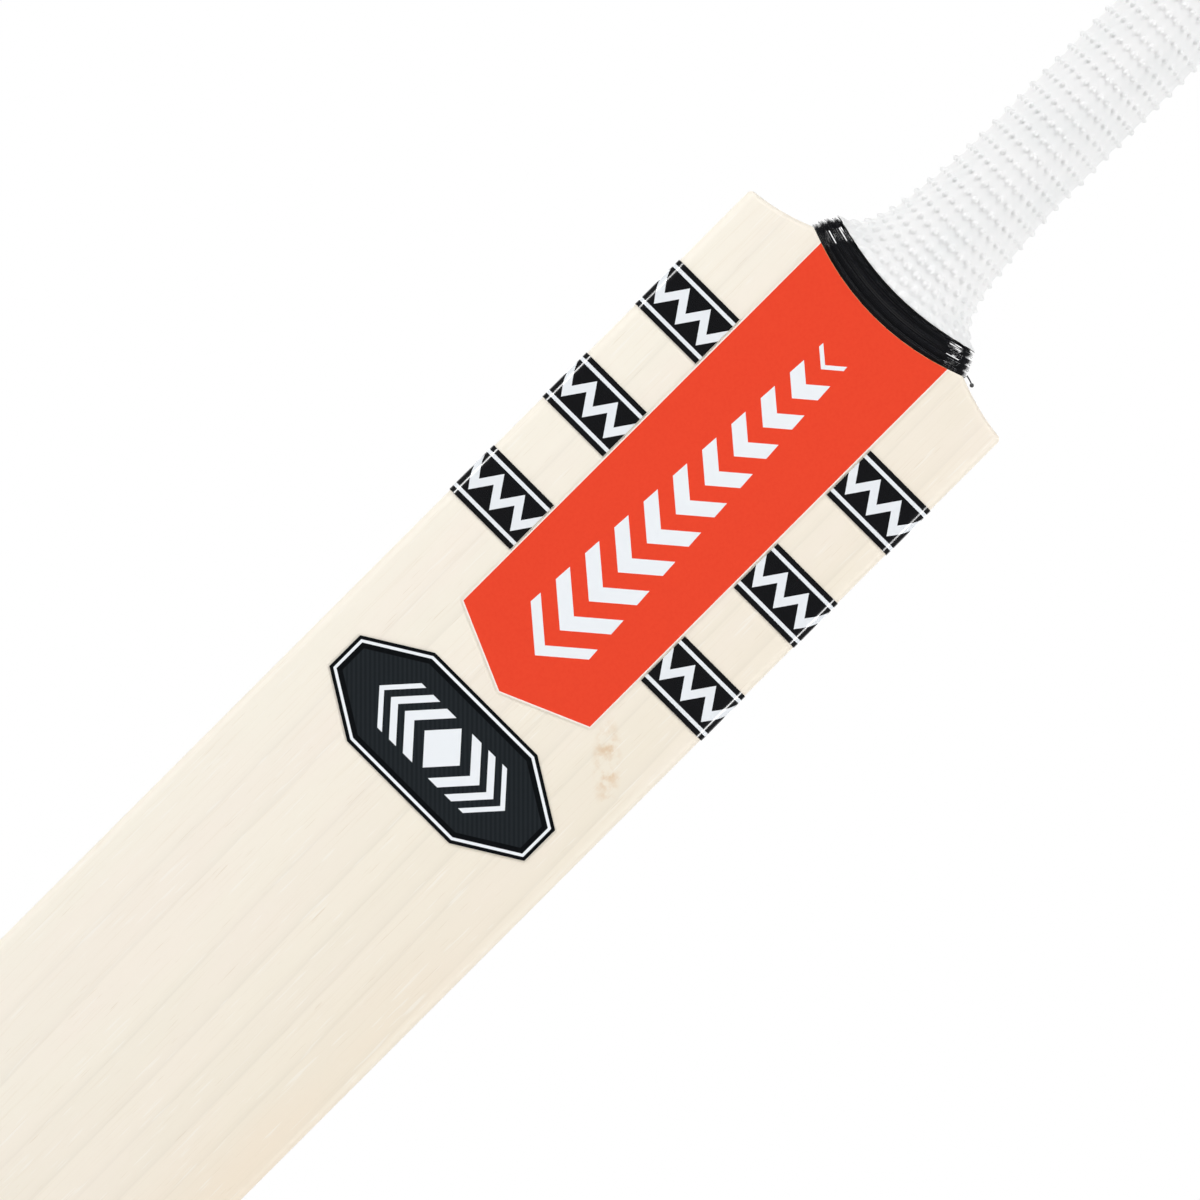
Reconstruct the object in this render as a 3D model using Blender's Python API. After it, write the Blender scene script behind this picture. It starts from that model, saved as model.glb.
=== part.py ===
"""Cricket bat: a willow blade, a spliced handle of canes and rubber springs, thread and a rubber grip.

Metres, +Z up. The bat stands on its toe with the striking face towards -Y and the handle up.
The origin is the middle of the toe's flat end.
"""

import math

import bmesh
import bpy
import numpy as np

# Blade
BLADE_LENGTH = 0.560  # toe to the foot of the handle
BLADE_WIDTH = 0.108
FACE_BOW = 0.007  # how far the toe stands in front of the shoulders
FACE_CROWN = 0.0008  # how far the face falls back from its middle to its edges
EDGE_AT_TOE = 0.019
EDGE_AT_SWELL = 0.037
EDGE_AT_SHOULDER = 0.0255
SPINE_AT_TOE = 0.024
SPINE_AT_SWELL = 0.064
SPINE_AT_SHOULDER = 0.038
SWELL_HEIGHT = 0.205
SPINE_FULLNESS = 1.2  # above 1 the spine is broad, below 1 it is a narrow ridge
FACE_EDGE_ROUND = 0.0035
BACK_EDGE_ROUND = 0.008
TOE_CORNER = 0.018  # seen from the front
TOE_ROUND = 0.004  # seen from the side
SHOULDER_DROP = 0.0052  # from the throat out to the rounded corner
SHOULDER_HOLLOW = 0.6  # share by which the shoulder line starts steeper than it ends
SHOULDER_CORNER = 0.0016
CORNER_OVERLAP = 0.0004  # the corner's round stands this far above the shoulder line that trims it

# Hollow along the spine
SCOOP_BOTTOM = 0.075
SCOOP_TOP = 0.395
SCOOP_WIDTH = 0.036
SCOOP_DEPTH = 0.011
SCOOP_RUN_OUT = 0.0014  # the gouge ends this far clear of the wood
SCOOP_END_POWER = 0.7  # below 1 the hollow reaches its depth soon after its ends

# Handle
HANDLE_LENGTH = 0.298  # above the shoulders
HANDLE_SETBACK = 0.019  # axis behind the face
SHAFT_WIDTH = 0.0272
SHAFT_DEPTH = 0.030
THROAT_WIDTH = 0.0646
THROAT_STEP = 0.0006  # the throat starts this far inside the blade's surfaces
THROAT_SAG = 0.0064  # how far the throat's lines hang down at the front and back
THROAT_SQUARENESS = 1.6  # added to an ellipse's power at the front of the throat
HANDLE_END_ROUND = 0.003
# Heights above the shoulders, with the share of the throat's extra width that is left there
THROAT_FLARE = (
    (0.0, 1.0),
    (0.0042, 0.915),
    (0.0073, 0.775),
    (0.0104, 0.49),
    (0.0165, 0.26),
    (0.0285, 0.115),
    (0.060, 0.0),
)

# Splice
SPLICE_LENGTH = 0.145
SPLICE_WIDTH = 0.055  # at the shoulders
SPLICE_TIP_WIDTH = 0.010
WING_HEIGHT = 0.005  # the blade's wings beside the throat end here
GLUE_GAP = 0.0003
ROOT_DEPTH = 0.012  # the throat's form starts this far down inside the blade
ROOT_INSET = 0.0024

# Canes and springs
CANE_LAYERS = ("front", "inner_front", "inner_back", "back")
CANE_COLUMNS = ("left", "middle", "right")
SPRINGS = ("front", "middle", "back")
CORE_WIDTH = 0.0316  # the canes side by side, with a cheek beyond on each side
SPRING_PITCH = 0.0076
SPRING_THICKNESS = 0.0014

# Thread, sleeve and grip
LAYER_GAP = 0.0003
THREAD_DIAMETER = 0.00065
THREAD_PITCH = 0.0011
THREAD_LOOPS = 6
POINTS_PER_LOOP = 24
BINDING_THICKNESS = 0.0005
BINDING_TOP_INSET = 0.004
HEM_CLEARANCE = 0.0004
HEM_WALL = 0.0008
HEM_RUN = 0.010
GRIP_WALL = 0.0016
LIP_WALL = 0.0018
LIP_REACH = 0.0055
LIP_ROUND = 0.0012

# Labels
LABEL_GAP = 0.00015
LABEL_THICKNESS = 0.00025
PANEL_WIDTH = 0.0553
PANEL_LENGTH = 0.162
PANEL_POINT = 0.012
PANEL_TOP_MARGIN = 0.0006
EDGE_LABEL_NAMES = ("upper", "middle", "lower")
EDGE_LABEL_HEIGHT = 0.019
EDGE_LABEL_SPACE = 0.021
EDGE_LABEL_DROP = 0.036  # first label below the shoulders
EDGE_LABEL_GAP = 0.0006
EDGE_LABEL_WRAP = 0.008
BADGE_WIDTH = 0.084
BADGE_HEIGHT = 0.038
BADGE_POINT = 0.020
BADGE_END_SHARE = 0.35
BADGE_GAP = 0.005

# Facets
FACE_STEPS = 4
EDGE_STEPS = 3
BACK_STEPS = 10
TOE_STEPS = 7
BLADE_STEPS = 24
CORNER_STEPS = 4
SHOULDER_STEPS = 7
ARCH_STEPS = 12
SCOOP_STEPS = 22
SCOOP_SIDES = 28
HANDLE_SIDES = 24
END_STEPS = 3
TIP_STEPS = 8
PANEL_ROWS = 6
SMOOTH_ANGLE = math.radians(35)

# Worked out from the sizes above
HALF_WIDTH = BLADE_WIDTH / 2
FACE_AT_TOE = -SPINE_AT_TOE / 2
HANDLE_Y = FACE_AT_TOE + FACE_BOW + HANDLE_SETBACK
THROAT_FRONT = HANDLE_SETBACK - THROAT_STEP
THROAT_BACK = SPINE_AT_SHOULDER - HANDLE_SETBACK - THROAT_STEP
CORNER_START = BLADE_LENGTH - SHOULDER_DROP - SHOULDER_CORNER + CORNER_OVERLAP
BAND_START = THREAD_DIAMETER
BAND_TOP = BAND_START + THREAD_LOOPS * THREAD_PITCH + THREAD_DIAMETER / 2
HEM_HEIGHT = BAND_TOP + HEM_CLEARANCE
BINDING_LIFT = LAYER_GAP
GRIP_LIFT = BINDING_LIFT + BINDING_THICKNESS + LAYER_GAP
LIP_UNDERSIDE = HANDLE_LENGTH + LAYER_GAP
STRIP_REACH = BLADE_WIDTH  # further out than any surface of the bat
CUTTER_REACH = 1.5 * BLADE_WIDTH  # further out than any strip


def clear_scene():
    for obj in list(bpy.data.objects):
        bpy.data.objects.remove(obj, do_unlink=True)


def material(name, colour, roughness):
    made = bpy.data.materials.new(name)
    made.use_nodes = True
    shader = made.node_tree.nodes["Principled BSDF"]
    shader.inputs["Base Color"].default_value = (*colour, 1.0)
    shader.inputs["Roughness"].default_value = roughness
    shader.inputs["Metallic"].default_value = 0.0
    return made


def mesh_object(name, shape, finish=None, parent=None):
    """A smooth-shaded object of flat triangles; with no finish it is a hidden helper."""
    bmesh.ops.triangulate(shape, faces=shape.faces)
    bmesh.ops.recalc_face_normals(shape, faces=shape.faces)
    mesh = bpy.data.meshes.new(name)
    shape.to_mesh(mesh)
    shape.free()
    mesh.shade_smooth()
    mesh.set_sharp_from_angle(angle=SMOOTH_ANGLE)
    return placed(bpy.data.objects.new(name, mesh), finish, parent)


def placed(obj, finish, parent):
    bpy.context.scene.collection.objects.link(obj)
    obj.parent = parent
    if finish is None:
        obj.hide_render = True
        obj.display_type = "WIRE"
    else:
        obj.data.materials.append(finish)
    return obj


def combine(obj, operation, other):
    modifier = obj.modifiers.new(f"{operation.lower()} {other.name}", "BOOLEAN")
    modifier.operation = operation
    modifier.solver = "EXACT"
    modifier.object = other


def bridge(shape, lower, upper):
    count = len(lower)
    for i in range(count):
        j = (i + 1) % count
        shape.faces.new((lower[i], lower[j], upper[j], upper[i]))


def loft(rings, ring_closed):
    """A closed skin over rings of points: capped at both ends, or with the last ring joined to the first."""
    shape = bmesh.new()
    loops = [[shape.verts.new(point) for point in ring] for ring in rings]
    for lower, upper in zip(loops, loops[1:]):
        bridge(shape, lower, upper)
    if ring_closed:
        bridge(shape, loops[-1], loops[0])
    else:
        shape.faces.new(loops[0])
        shape.faces.new(loops[-1])
    return shape


def prism(outline):
    """An outline of (x, z) points, carried through the bat from front to back."""
    return loft([[(x, y, z) for x, z in outline] for y in (-CUTTER_REACH, CUTTER_REACH)], False)


def box(low, high):
    shape = bmesh.new()
    bmesh.ops.create_cube(shape, size=1.0)
    for vertex in shape.verts:
        vertex.co = [a + (b - a) * (c + 0.5) for a, b, c in zip(low, high, vertex.co)]
    return shape


def smooth_through(points, place):
    """The smooth curve through (place, value) points, with no swing past any of them."""
    places, values = zip(*points)
    if place <= places[0]:
        return values[0]
    if place >= places[-1]:
        return values[-1]
    slopes = [(v2 - v1) / (p2 - p1) for (p1, v1), (p2, v2) in zip(points, points[1:])]
    tangents = [slopes[0]]
    for before, after in zip(slopes, slopes[1:]):
        same_way = before * after > 0
        tangents.append(2 * before * after / (before + after) if same_way else 0.0)
    tangents.append(0.0)
    i = max(k for k, p in enumerate(places) if p <= place)
    run = places[i + 1] - places[i]
    t = (place - places[i]) / run
    start = values[i] + t * t * (3 - 2 * t) * (values[i + 1] - values[i])
    return start + run * t * (1 - t) * ((1 - t) * tangents[i] - t * tangents[i + 1])


# Blade surfaces


def along_blade(z, at_toe, at_swell, at_shoulder):
    """A depth that rises from the toe to the swell and eases down to the shoulders."""
    if z < SWELL_HEIGHT:
        return at_toe + (at_swell - at_toe) * math.sin(math.pi / 2 * z / SWELL_HEIGHT)
    share = min(1.0, (z - SWELL_HEIGHT) / (BLADE_LENGTH - SWELL_HEIGHT))
    return at_swell + (at_shoulder - at_swell) * (1 - math.cos(math.pi * share)) / 2


def quarter_inset(distance, radius):
    """How far a corner of this radius has drawn in, at a distance from the end that it rounds."""
    if distance >= radius:
        return 0.0
    return radius - math.sqrt(radius**2 - (radius - distance) ** 2)


def half_width(z):
    past_corner = min(max(z - CORNER_START, 0.0), SHOULDER_CORNER)
    at_shoulder = quarter_inset(SHOULDER_CORNER - past_corner, SHOULDER_CORNER)
    return HALF_WIDTH - quarter_inset(z, TOE_CORNER) - at_shoulder


def face_line(z):
    share = min(z / BLADE_LENGTH, 1.0)
    return FACE_AT_TOE + FACE_BOW * (1 - (1 - share) ** 2) + quarter_inset(z, TOE_ROUND)


def face_y(x, z):
    return face_line(z) + FACE_CROWN * (x / HALF_WIDTH) ** 2


def edge_depth(z):
    return along_blade(z, EDGE_AT_TOE, EDGE_AT_SWELL, EDGE_AT_SHOULDER) - 2 * quarter_inset(z, TOE_ROUND)


def spine_depth(z):
    return along_blade(z, SPINE_AT_TOE, SPINE_AT_SWELL, SPINE_AT_SHOULDER) - 2 * quarter_inset(z, TOE_ROUND)


def face_edge_round(z):
    return min(FACE_EDGE_ROUND, edge_depth(z) / 3)


def on_front(across, z, lift):
    """A point at a distance from the centreline, measured over the face, round the edge and down its wall."""
    side = math.copysign(1.0, across)
    distance = abs(across)
    radius = face_edge_round(z)
    flat = half_width(z) - radius
    if distance <= flat:
        return across, face_y(across, z) - lift, z
    centre = face_y(flat, z) + radius
    angle = min((distance - flat) / radius, math.pi / 2)
    down = max(distance - flat - radius * math.pi / 2, 0.0)
    x = flat + (radius + lift) * math.sin(angle)
    y = centre - (radius + lift) * math.cos(angle) + down
    return side * x, y, z


def front_stations(z):
    """Distances over the face and round its edge at which the surface has its facets."""
    radius = face_edge_round(z)
    flat = half_width(z) - radius
    face = [flat * k / FACE_STEPS for k in range(FACE_STEPS + 1)]
    return face + [flat + radius * math.pi / 2 * k / EDGE_STEPS for k in range(1, EDGE_STEPS + 1)]


def back_half(z):
    """The back from the edge's wall in to the spine, as (x, y) points."""
    radius = min(BACK_EDGE_ROUND, edge_depth(z) / 2)
    x0 = half_width(z) - radius
    y0 = face_line(z) + edge_depth(z)
    points = []
    for k in range(EDGE_STEPS + 1):
        angle = math.pi / 2 * k / EDGE_STEPS
        points.append((x0 + radius * math.cos(angle), y0 - radius + radius * math.sin(angle)))
    for k in range(1, BACK_STEPS + 1):
        share = 1 - k / BACK_STEPS
        rise = math.cos(math.pi / 2 * share**SPINE_FULLNESS) ** 2
        points.append((x0 * share, y0 + (spine_depth(z) - edge_depth(z)) * rise))
    return points


def blade_ring(z):
    right = [on_front(across, z, 0.0) for across in front_stations(z)]
    right += [(x, y, z) for x, y in back_half(z)]
    left = [(-x, y, z) for x, y, z in right[-2:0:-1]]
    return right + left


def blade_stations():
    toe = [TOE_CORNER * (1 - math.cos(math.pi / 2 * k / TOE_STEPS)) for k in range(TOE_STEPS + 1)]
    run = CORNER_START - TOE_CORNER
    middle = [TOE_CORNER + run * k / BLADE_STEPS for k in range(1, BLADE_STEPS + 1)]
    angles = [math.pi / 2 * k / CORNER_STEPS for k in range(1, CORNER_STEPS + 1)]
    corner = [CORNER_START + SHOULDER_CORNER * math.sin(angle) for angle in angles]
    return toe + middle + corner + [BLADE_LENGTH + SHOULDER_DROP]


def throat_arch(x):
    """Height of the blade's sagging top line where the throat rises from it."""
    return BLADE_LENGTH - THROAT_SAG * (1 - (2 * x / THROAT_WIDTH) ** 2)


def shoulder_outline():
    """What is cut away above the sloping shoulders and the arch between them."""
    throat = THROAT_WIDTH / 2
    run = HALF_WIDTH - SHOULDER_CORNER - throat
    right = []
    for k in range(1, SHOULDER_STEPS + 1):
        share = k / SHOULDER_STEPS
        drop = SHOULDER_DROP * share * (1 + SHOULDER_HOLLOW * (1 - share))
        right.append((throat + run * share, BLADE_LENGTH - drop))
    end_slope = SHOULDER_DROP * (1 - SHOULDER_HOLLOW) / run
    right.append((CUTTER_REACH, right[-1][1] - end_slope * (CUTTER_REACH - throat - run)))
    left = [(-x, z) for x, z in reversed(right)]
    arch = [throat * (2 * k / ARCH_STEPS - 1) for k in range(ARCH_STEPS + 1)]
    top = BLADE_LENGTH + CUTTER_REACH
    return left + [(x, throat_arch(x)) for x in arch] + right + [(CUTTER_REACH, top), (-CUTTER_REACH, top)]


def scoop_cutter():
    """A round-bottomed gouge that follows the spine and lifts out of the wood at both ends."""
    half = SCOOP_WIDTH / 2
    radius = (half**2 + SCOOP_DEPTH**2) / (2 * SCOOP_DEPTH)
    rings = []
    for k in range(SCOOP_STEPS + 1):
        share = k / SCOOP_STEPS
        z = SCOOP_BOTTOM + (SCOOP_TOP - SCOOP_BOTTOM) * share
        rise = max(math.sin(math.pi * share), 0.0) ** SCOOP_END_POWER
        bite = (SCOOP_DEPTH + SCOOP_RUN_OUT) * rise - SCOOP_RUN_OUT
        y = face_line(z) + spine_depth(z) + radius - bite
        angles = [2 * math.pi * i / SCOOP_SIDES for i in range(SCOOP_SIDES)]
        rings.append([(radius * math.cos(a), y + radius * math.sin(a), z) for a in angles])
    return mesh_object("scoop_cutter", loft(rings, False))


# Handle surfaces, in a frame on the handle's axis at the height of the shoulders


def flare(height):
    return smooth_through(THROAT_FLARE, height)


def handle_point(angle, height, lift):
    """A point on the bare handle, or lifted off it; the throat's lines sag at the front and back."""
    share = flare(height)
    half = SHAFT_WIDTH / 2 + (THROAT_WIDTH - SHAFT_WIDTH) / 2 * share
    at_back = math.sin(angle) >= 0
    foot = THROAT_BACK if at_back else THROAT_FRONT
    depth = SHAFT_DEPTH / 2 + (foot - SHAFT_DEPTH / 2) * share
    power = 2 if at_back else 2 + THROAT_SQUARENESS * share
    across = math.copysign(abs(math.cos(angle)) ** (2 / power), math.cos(angle))
    through = math.copysign(abs(math.sin(angle)) ** (2 / power), math.sin(angle))
    z = height - THROAT_SAG * share * (1 - across**2)
    return (half + lift) * across, (depth + lift) * through, z


def handle_ring(height, lift):
    angles = [2 * math.pi * k / HANDLE_SIDES for k in range(HANDLE_SIDES)]
    return [handle_point(angle, height, lift) for angle in angles]


def throat_heights():
    """The flare's own heights and the ones halfway, with the hem's."""
    places = [place for place, _ in THROAT_FLARE]
    halfway = [(a + b) / 2 for a, b in zip(places, places[1:])]
    return sorted(places[1:] + halfway + [HEM_HEIGHT])


def sleeve_heights(top):
    return [height for height in throat_heights() if height >= HEM_HEIGHT] + [top]


def handle_form(parent):
    """The bare handle, rooted in the blade."""
    rings = [handle_ring(-ROOT_DEPTH, -ROOT_INSET)]
    rings += [handle_ring(height, 0.0) for height in throat_heights()]
    for k in range(END_STEPS + 1):
        angle = math.pi / 2 * k / END_STEPS
        height = HANDLE_LENGTH - HANDLE_END_ROUND * (1 - math.sin(angle))
        rings.append(handle_ring(height, HANDLE_END_ROUND * (math.cos(angle) - 1)))
    return mesh_object("handle_form", loft(rings, False), parent=parent)


def splice_half_width(z):
    rise = (SPLICE_WIDTH - SPLICE_TIP_WIDTH) / 2 / SPLICE_LENGTH
    return SPLICE_WIDTH / 2 + rise * (z - BLADE_LENGTH)


def splice_outline(grow):
    """The tongue with its round tip, opening to the full handle above the blade's wings."""
    wing_top = BLADE_LENGTH + WING_HEIGHT
    tip_height = BLADE_LENGTH - SPLICE_LENGTH
    radius = SPLICE_TIP_WIDTH / 2 + grow
    tip = []
    for k in range(TIP_STEPS + 1):
        angle = math.pi * (1 + k / TIP_STEPS)
        tip.append((radius * math.cos(angle), tip_height + radius * math.sin(angle)))
    wing = splice_half_width(wing_top) + grow
    top = BLADE_LENGTH + HANDLE_LENGTH + CUTTER_REACH
    right = [(wing, wing_top - grow), (CUTTER_REACH, wing_top - grow), (CUTTER_REACH, top)]
    return tip + right + [(-x, z) for x, z in reversed(right)]


# Pieces


def bat_form(handle, shoulders, name, finish):
    """Blade and handle as one shape: the canes are cut from it, and the blade is what the splice leaves."""
    made = mesh_object(name, loft([blade_ring(z) for z in blade_stations()], False), finish)
    combine(made, "DIFFERENCE", shoulders)
    combine(made, "UNION", handle)
    return made


def handle_strip(name, low, high, finish, form, tongue):
    strip = mesh_object(name, box(low, high), finish)
    combine(strip, "INTERSECT", tongue)
    combine(strip, "INTERSECT", form)
    return strip


def spring_places():
    middle = (len(SPRINGS) - 1) / 2
    return [HANDLE_Y + (k - middle) * SPRING_PITCH for k in range(len(SPRINGS))]


def layer_limits():
    """Front and back of each layer of canes, between the springs."""
    clear = SPRING_THICKNESS / 2 + GLUE_GAP
    fronts = [-STRIP_REACH] + [y + clear for y in spring_places()]
    backs = [y - clear for y in spring_places()] + [STRIP_REACH]
    return zip(CANE_LAYERS, fronts, backs)


def column_limits():
    width = CORE_WIDTH / len(CANE_COLUMNS)
    for k, name in enumerate(CANE_COLUMNS):
        left = k * width - CORE_WIDTH / 2
        yield name, left + GLUE_GAP / 2, left + width - GLUE_GAP / 2


def make_handle(form, tongue, cane, rubber):
    bottom = BLADE_LENGTH - SPLICE_LENGTH - SPLICE_TIP_WIDTH
    top = BLADE_LENGTH + HANDLE_LENGTH + STRIP_REACH
    core = CORE_WIDTH / 2
    for layer, front, back in layer_limits():
        for column, left, right in column_limits():
            name = f"cane_{layer}_{column}"
            handle_strip(name, (left, front, bottom), (right, back, top), cane, form, tongue)
    for name, y in zip(SPRINGS, spring_places()):
        low = (GLUE_GAP / 2 - core, y - SPRING_THICKNESS / 2, bottom)
        high = (core - GLUE_GAP / 2, y + SPRING_THICKNESS / 2, top)
        handle_strip(f"spring_{name}", low, high, rubber, form, tongue)
    inner = core + GLUE_GAP / 2
    seam = GLUE_GAP / 2
    for side, left, right in (("left", -STRIP_REACH, -inner), ("right", inner, STRIP_REACH)):
        front_half = ("front", -STRIP_REACH, HANDLE_Y - seam)
        back_half_limits = ("back", HANDLE_Y + seam, STRIP_REACH)
        for place, front, back in (front_half, back_half_limits):
            name = f"cheek_{side}_{place}"
            handle_strip(name, (left, front, bottom), (right, back, top), cane, form, tongue)


def sleeve_rings(lift, top):
    return [handle_ring(height, lift) for height in sleeve_heights(top)]


def make_handle_binding(thread, parent):
    """The thread under the grip, as one plain sleeve."""
    top = HANDLE_LENGTH - BINDING_TOP_INSET
    inside = sleeve_rings(BINDING_LIFT, top)
    outside = sleeve_rings(BINDING_LIFT + BINDING_THICKNESS, top)
    mesh_object("handle_binding", loft(inside + outside[::-1], True), thread, parent)


def grip_wall(height):
    share = min((height - HEM_HEIGHT) / HEM_RUN, 1.0)
    return HEM_WALL + (GRIP_WALL - HEM_WALL) * share


def make_grip(rubber, parent):
    """A tube with a thin flared hem, rolled over the end of the handle."""
    end = LIP_UNDERSIDE + LIP_WALL
    inside = sleeve_rings(GRIP_LIFT, LIP_UNDERSIDE)
    lip = [handle_ring(LIP_UNDERSIDE, -LIP_REACH), handle_ring(end, -LIP_REACH)]
    rolled = []
    for k in range(END_STEPS + 1):
        angle = math.pi / 2 * k / END_STEPS
        lift = GRIP_LIFT + GRIP_WALL - LIP_ROUND * (1 - math.sin(angle))
        rolled.append(handle_ring(end - LIP_ROUND * (1 - math.cos(angle)), lift))
    outside = [handle_ring(h, GRIP_LIFT + grip_wall(h)) for h in sleeve_heights(end - LIP_ROUND)[-2::-1]]
    mesh_object("grip", loft(inside + lip + rolled + outside, True), rubber, parent)


def least_gap(points, diameter):
    """The least clear distance between the turns of a wound tube, from its centreline's points."""
    path = np.array(points)
    starts = path[:-1]
    runs = path[1:] - starts
    least = math.inf
    for i, point in enumerate(path):
        along = ((point - starts) * runs).sum(axis=1) / (runs * runs).sum(axis=1)
        nearest = starts + runs * np.clip(along, 0.0, 1.0)[:, None]
        apart = np.abs(np.arange(len(runs)) - i) > POINTS_PER_LOOP / 2
        least = min(least, np.linalg.norm(nearest - point, axis=1)[apart].min())
    return least - diameter


def make_throat_binding(thread, parent):
    """Black thread wound round the throat, as one tube that climbs a pitch in each loop."""
    lift = LAYER_GAP + THREAD_DIAMETER / 2
    points = []
    for k in range(THREAD_LOOPS * POINTS_PER_LOOP + 1):
        turns = k / POINTS_PER_LOOP
        points.append(handle_point(2 * math.pi * turns, BAND_START + turns * THREAD_PITCH, lift))
    points = [run_on(points[1], points[0])] + points + [run_on(points[-2], points[-1])]
    print(f"throat binding: least gap between loops {least_gap(points, THREAD_DIAMETER) * 1000:.2f} mm")
    curve = bpy.data.curves.new("throat_binding", "CURVE")
    curve.dimensions = "3D"
    curve.bevel_depth = THREAD_DIAMETER / 2
    curve.bevel_resolution = 1
    curve.use_fill_caps = True
    spline = curve.splines.new("POLY")
    spline.points.add(len(points) - 1)
    for target, point in zip(spline.points, points):
        target.co = (*point, 1.0)
    placed(bpy.data.objects.new("throat_binding", curve), thread, parent)


def run_on(before, end):
    """A point one thread's diameter past the end, straight on."""
    step = [b - a for a, b in zip(before, end)]
    length = math.dist(before, end)
    return tuple(b + s / length * THREAD_DIAMETER for b, s in zip(end, step))


def label(name, columns, rows, bottom, top, finish):
    """A thin sheet that follows the face and edge, between a bottom and a top line over its columns."""
    shape = bmesh.new()
    sheets = []
    for lift in (LABEL_GAP, LABEL_GAP + LABEL_THICKNESS):
        sheet = []
        for across in columns:
            low, high = bottom(across), top(across)
            heights = [low + (high - low) * k / rows for k in range(rows + 1)]
            sheet.append([shape.verts.new(on_front(across, z, lift)) for z in heights])
        sheets.append(sheet)
    for sheet in sheets:
        for left, right in zip(sheet, sheet[1:]):
            for k in range(rows):
                shape.faces.new((left[k], right[k], right[k + 1], left[k + 1]))
    rims = [rim_of(sheet) for sheet in sheets]
    bridge(shape, rims[0], rims[1])
    mesh_object(name, shape, finish)


def rim_of(sheet):
    bottom = [column[0] for column in sheet]
    top = [column[-1] for column in sheet]
    return bottom + sheet[-1][1:-1] + top[::-1] + sheet[0][-2:0:-1]


def panel_bottom(across):
    point = BLADE_LENGTH - THROAT_SAG - PANEL_LENGTH
    return point + PANEL_POINT * abs(across) / (PANEL_WIDTH / 2)


def panel_top(across):
    return throat_arch(across) - PANEL_TOP_MARGIN


def make_panel(finish):
    half = PANEL_WIDTH / 2
    columns = [half * k / FACE_STEPS for k in range(-FACE_STEPS, FACE_STEPS + 1)]
    label("face_label", columns, PANEL_ROWS, panel_bottom, panel_top, finish)


def make_edge_labels(finish):
    """Labels from the panel out to the edges, round them and partly down the edges' walls."""
    for k, place in enumerate(EDGE_LABEL_NAMES):
        high = BLADE_LENGTH - EDGE_LABEL_DROP - k * (EDGE_LABEL_HEIGHT + EDGE_LABEL_SPACE)
        low = high - EDGE_LABEL_HEIGHT
        stations = front_stations(high)
        start = PANEL_WIDTH / 2 + EDGE_LABEL_GAP
        columns = [start] + [s for s in stations if s > start] + [stations[-1] + EDGE_LABEL_WRAP]
        for side, sign in (("left", -1), ("right", 1)):
            name = f"edge_label_{place}_{side}"
            label(name, [sign * c for c in columns], 1, lambda _: low, lambda _: high, finish)


def make_badge(finish):
    half = BADGE_WIDTH / 2
    middle = panel_bottom(0.0) - BADGE_GAP - BADGE_HEIGHT / 2
    shoulder = half - BADGE_POINT

    def half_height(across):
        drawn_in = max(abs(across) - shoulder, 0.0) / BADGE_POINT
        return BADGE_HEIGHT / 2 * (1 - (1 - BADGE_END_SHARE) * drawn_in)

    inner = [shoulder * k / 2 for k in range(-2, 3)]
    columns = [-half] + inner + [half]
    label("badge", columns, 2, lambda x: middle - half_height(x), lambda x: middle + half_height(x), finish)


def main():
    clear_scene()
    willow = material("willow", (0.87, 0.80, 0.66), 0.5)
    cane = material("cane", (0.62, 0.44, 0.23), 0.6)
    spring_rubber = material("spring_rubber", (0.05, 0.04, 0.04), 0.7)
    thread = material("black_thread", (0.01, 0.01, 0.012), 0.55)
    grip_rubber = material("grip_rubber", (0.84, 0.84, 0.84), 0.55)
    red_film = material("red_film", (0.83, 0.067, 0.028), 0.35)
    black_film = material("black_film", (0.012, 0.013, 0.016), 0.35)

    axis = bpy.data.objects.new("handle_axis", None)
    axis.location = (0.0, HANDLE_Y, BLADE_LENGTH)
    bpy.context.scene.collection.objects.link(axis)

    shoulders = mesh_object("shoulder_cutter", prism(shoulder_outline()))
    handle = handle_form(axis)
    form = bat_form(handle, shoulders, "bat_form", None)
    socket = mesh_object("splice_socket", prism(splice_outline(GLUE_GAP / 2)))
    tongue = mesh_object("splice_tongue", prism(splice_outline(-GLUE_GAP / 2)))

    blade = bat_form(handle, shoulders, "blade", willow)
    combine(blade, "DIFFERENCE", socket)
    combine(blade, "DIFFERENCE", scoop_cutter())
    make_handle(form, tongue, cane, spring_rubber)
    make_throat_binding(thread, axis)
    make_handle_binding(thread, axis)
    make_grip(grip_rubber, axis)
    make_panel(red_film)
    make_edge_labels(black_film)
    make_badge(black_film)


main()
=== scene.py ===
"""Cricket bat, dressed: dense willow, spliced canes, wound thread, pimpled grip and printed films.

Metres, +Z up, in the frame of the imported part: toe at the origin, striking face towards -Y.
"""

import math
from math import pi
from contextlib import contextmanager

import bmesh
import bpy
import numpy as np
from mathutils import Matrix, Vector


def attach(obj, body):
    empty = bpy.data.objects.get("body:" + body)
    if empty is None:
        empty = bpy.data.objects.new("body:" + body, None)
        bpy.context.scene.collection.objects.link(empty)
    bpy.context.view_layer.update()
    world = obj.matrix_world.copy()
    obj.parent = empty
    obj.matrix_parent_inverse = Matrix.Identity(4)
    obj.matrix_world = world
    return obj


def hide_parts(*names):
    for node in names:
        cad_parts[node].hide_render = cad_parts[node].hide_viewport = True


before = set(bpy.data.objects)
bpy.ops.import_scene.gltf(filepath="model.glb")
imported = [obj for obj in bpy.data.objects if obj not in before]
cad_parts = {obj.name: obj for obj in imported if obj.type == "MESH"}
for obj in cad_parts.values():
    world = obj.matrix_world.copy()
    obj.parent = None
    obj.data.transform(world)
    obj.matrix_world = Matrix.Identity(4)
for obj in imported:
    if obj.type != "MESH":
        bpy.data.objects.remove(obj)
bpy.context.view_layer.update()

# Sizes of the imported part
BLADE_LENGTH = 0.560
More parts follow.
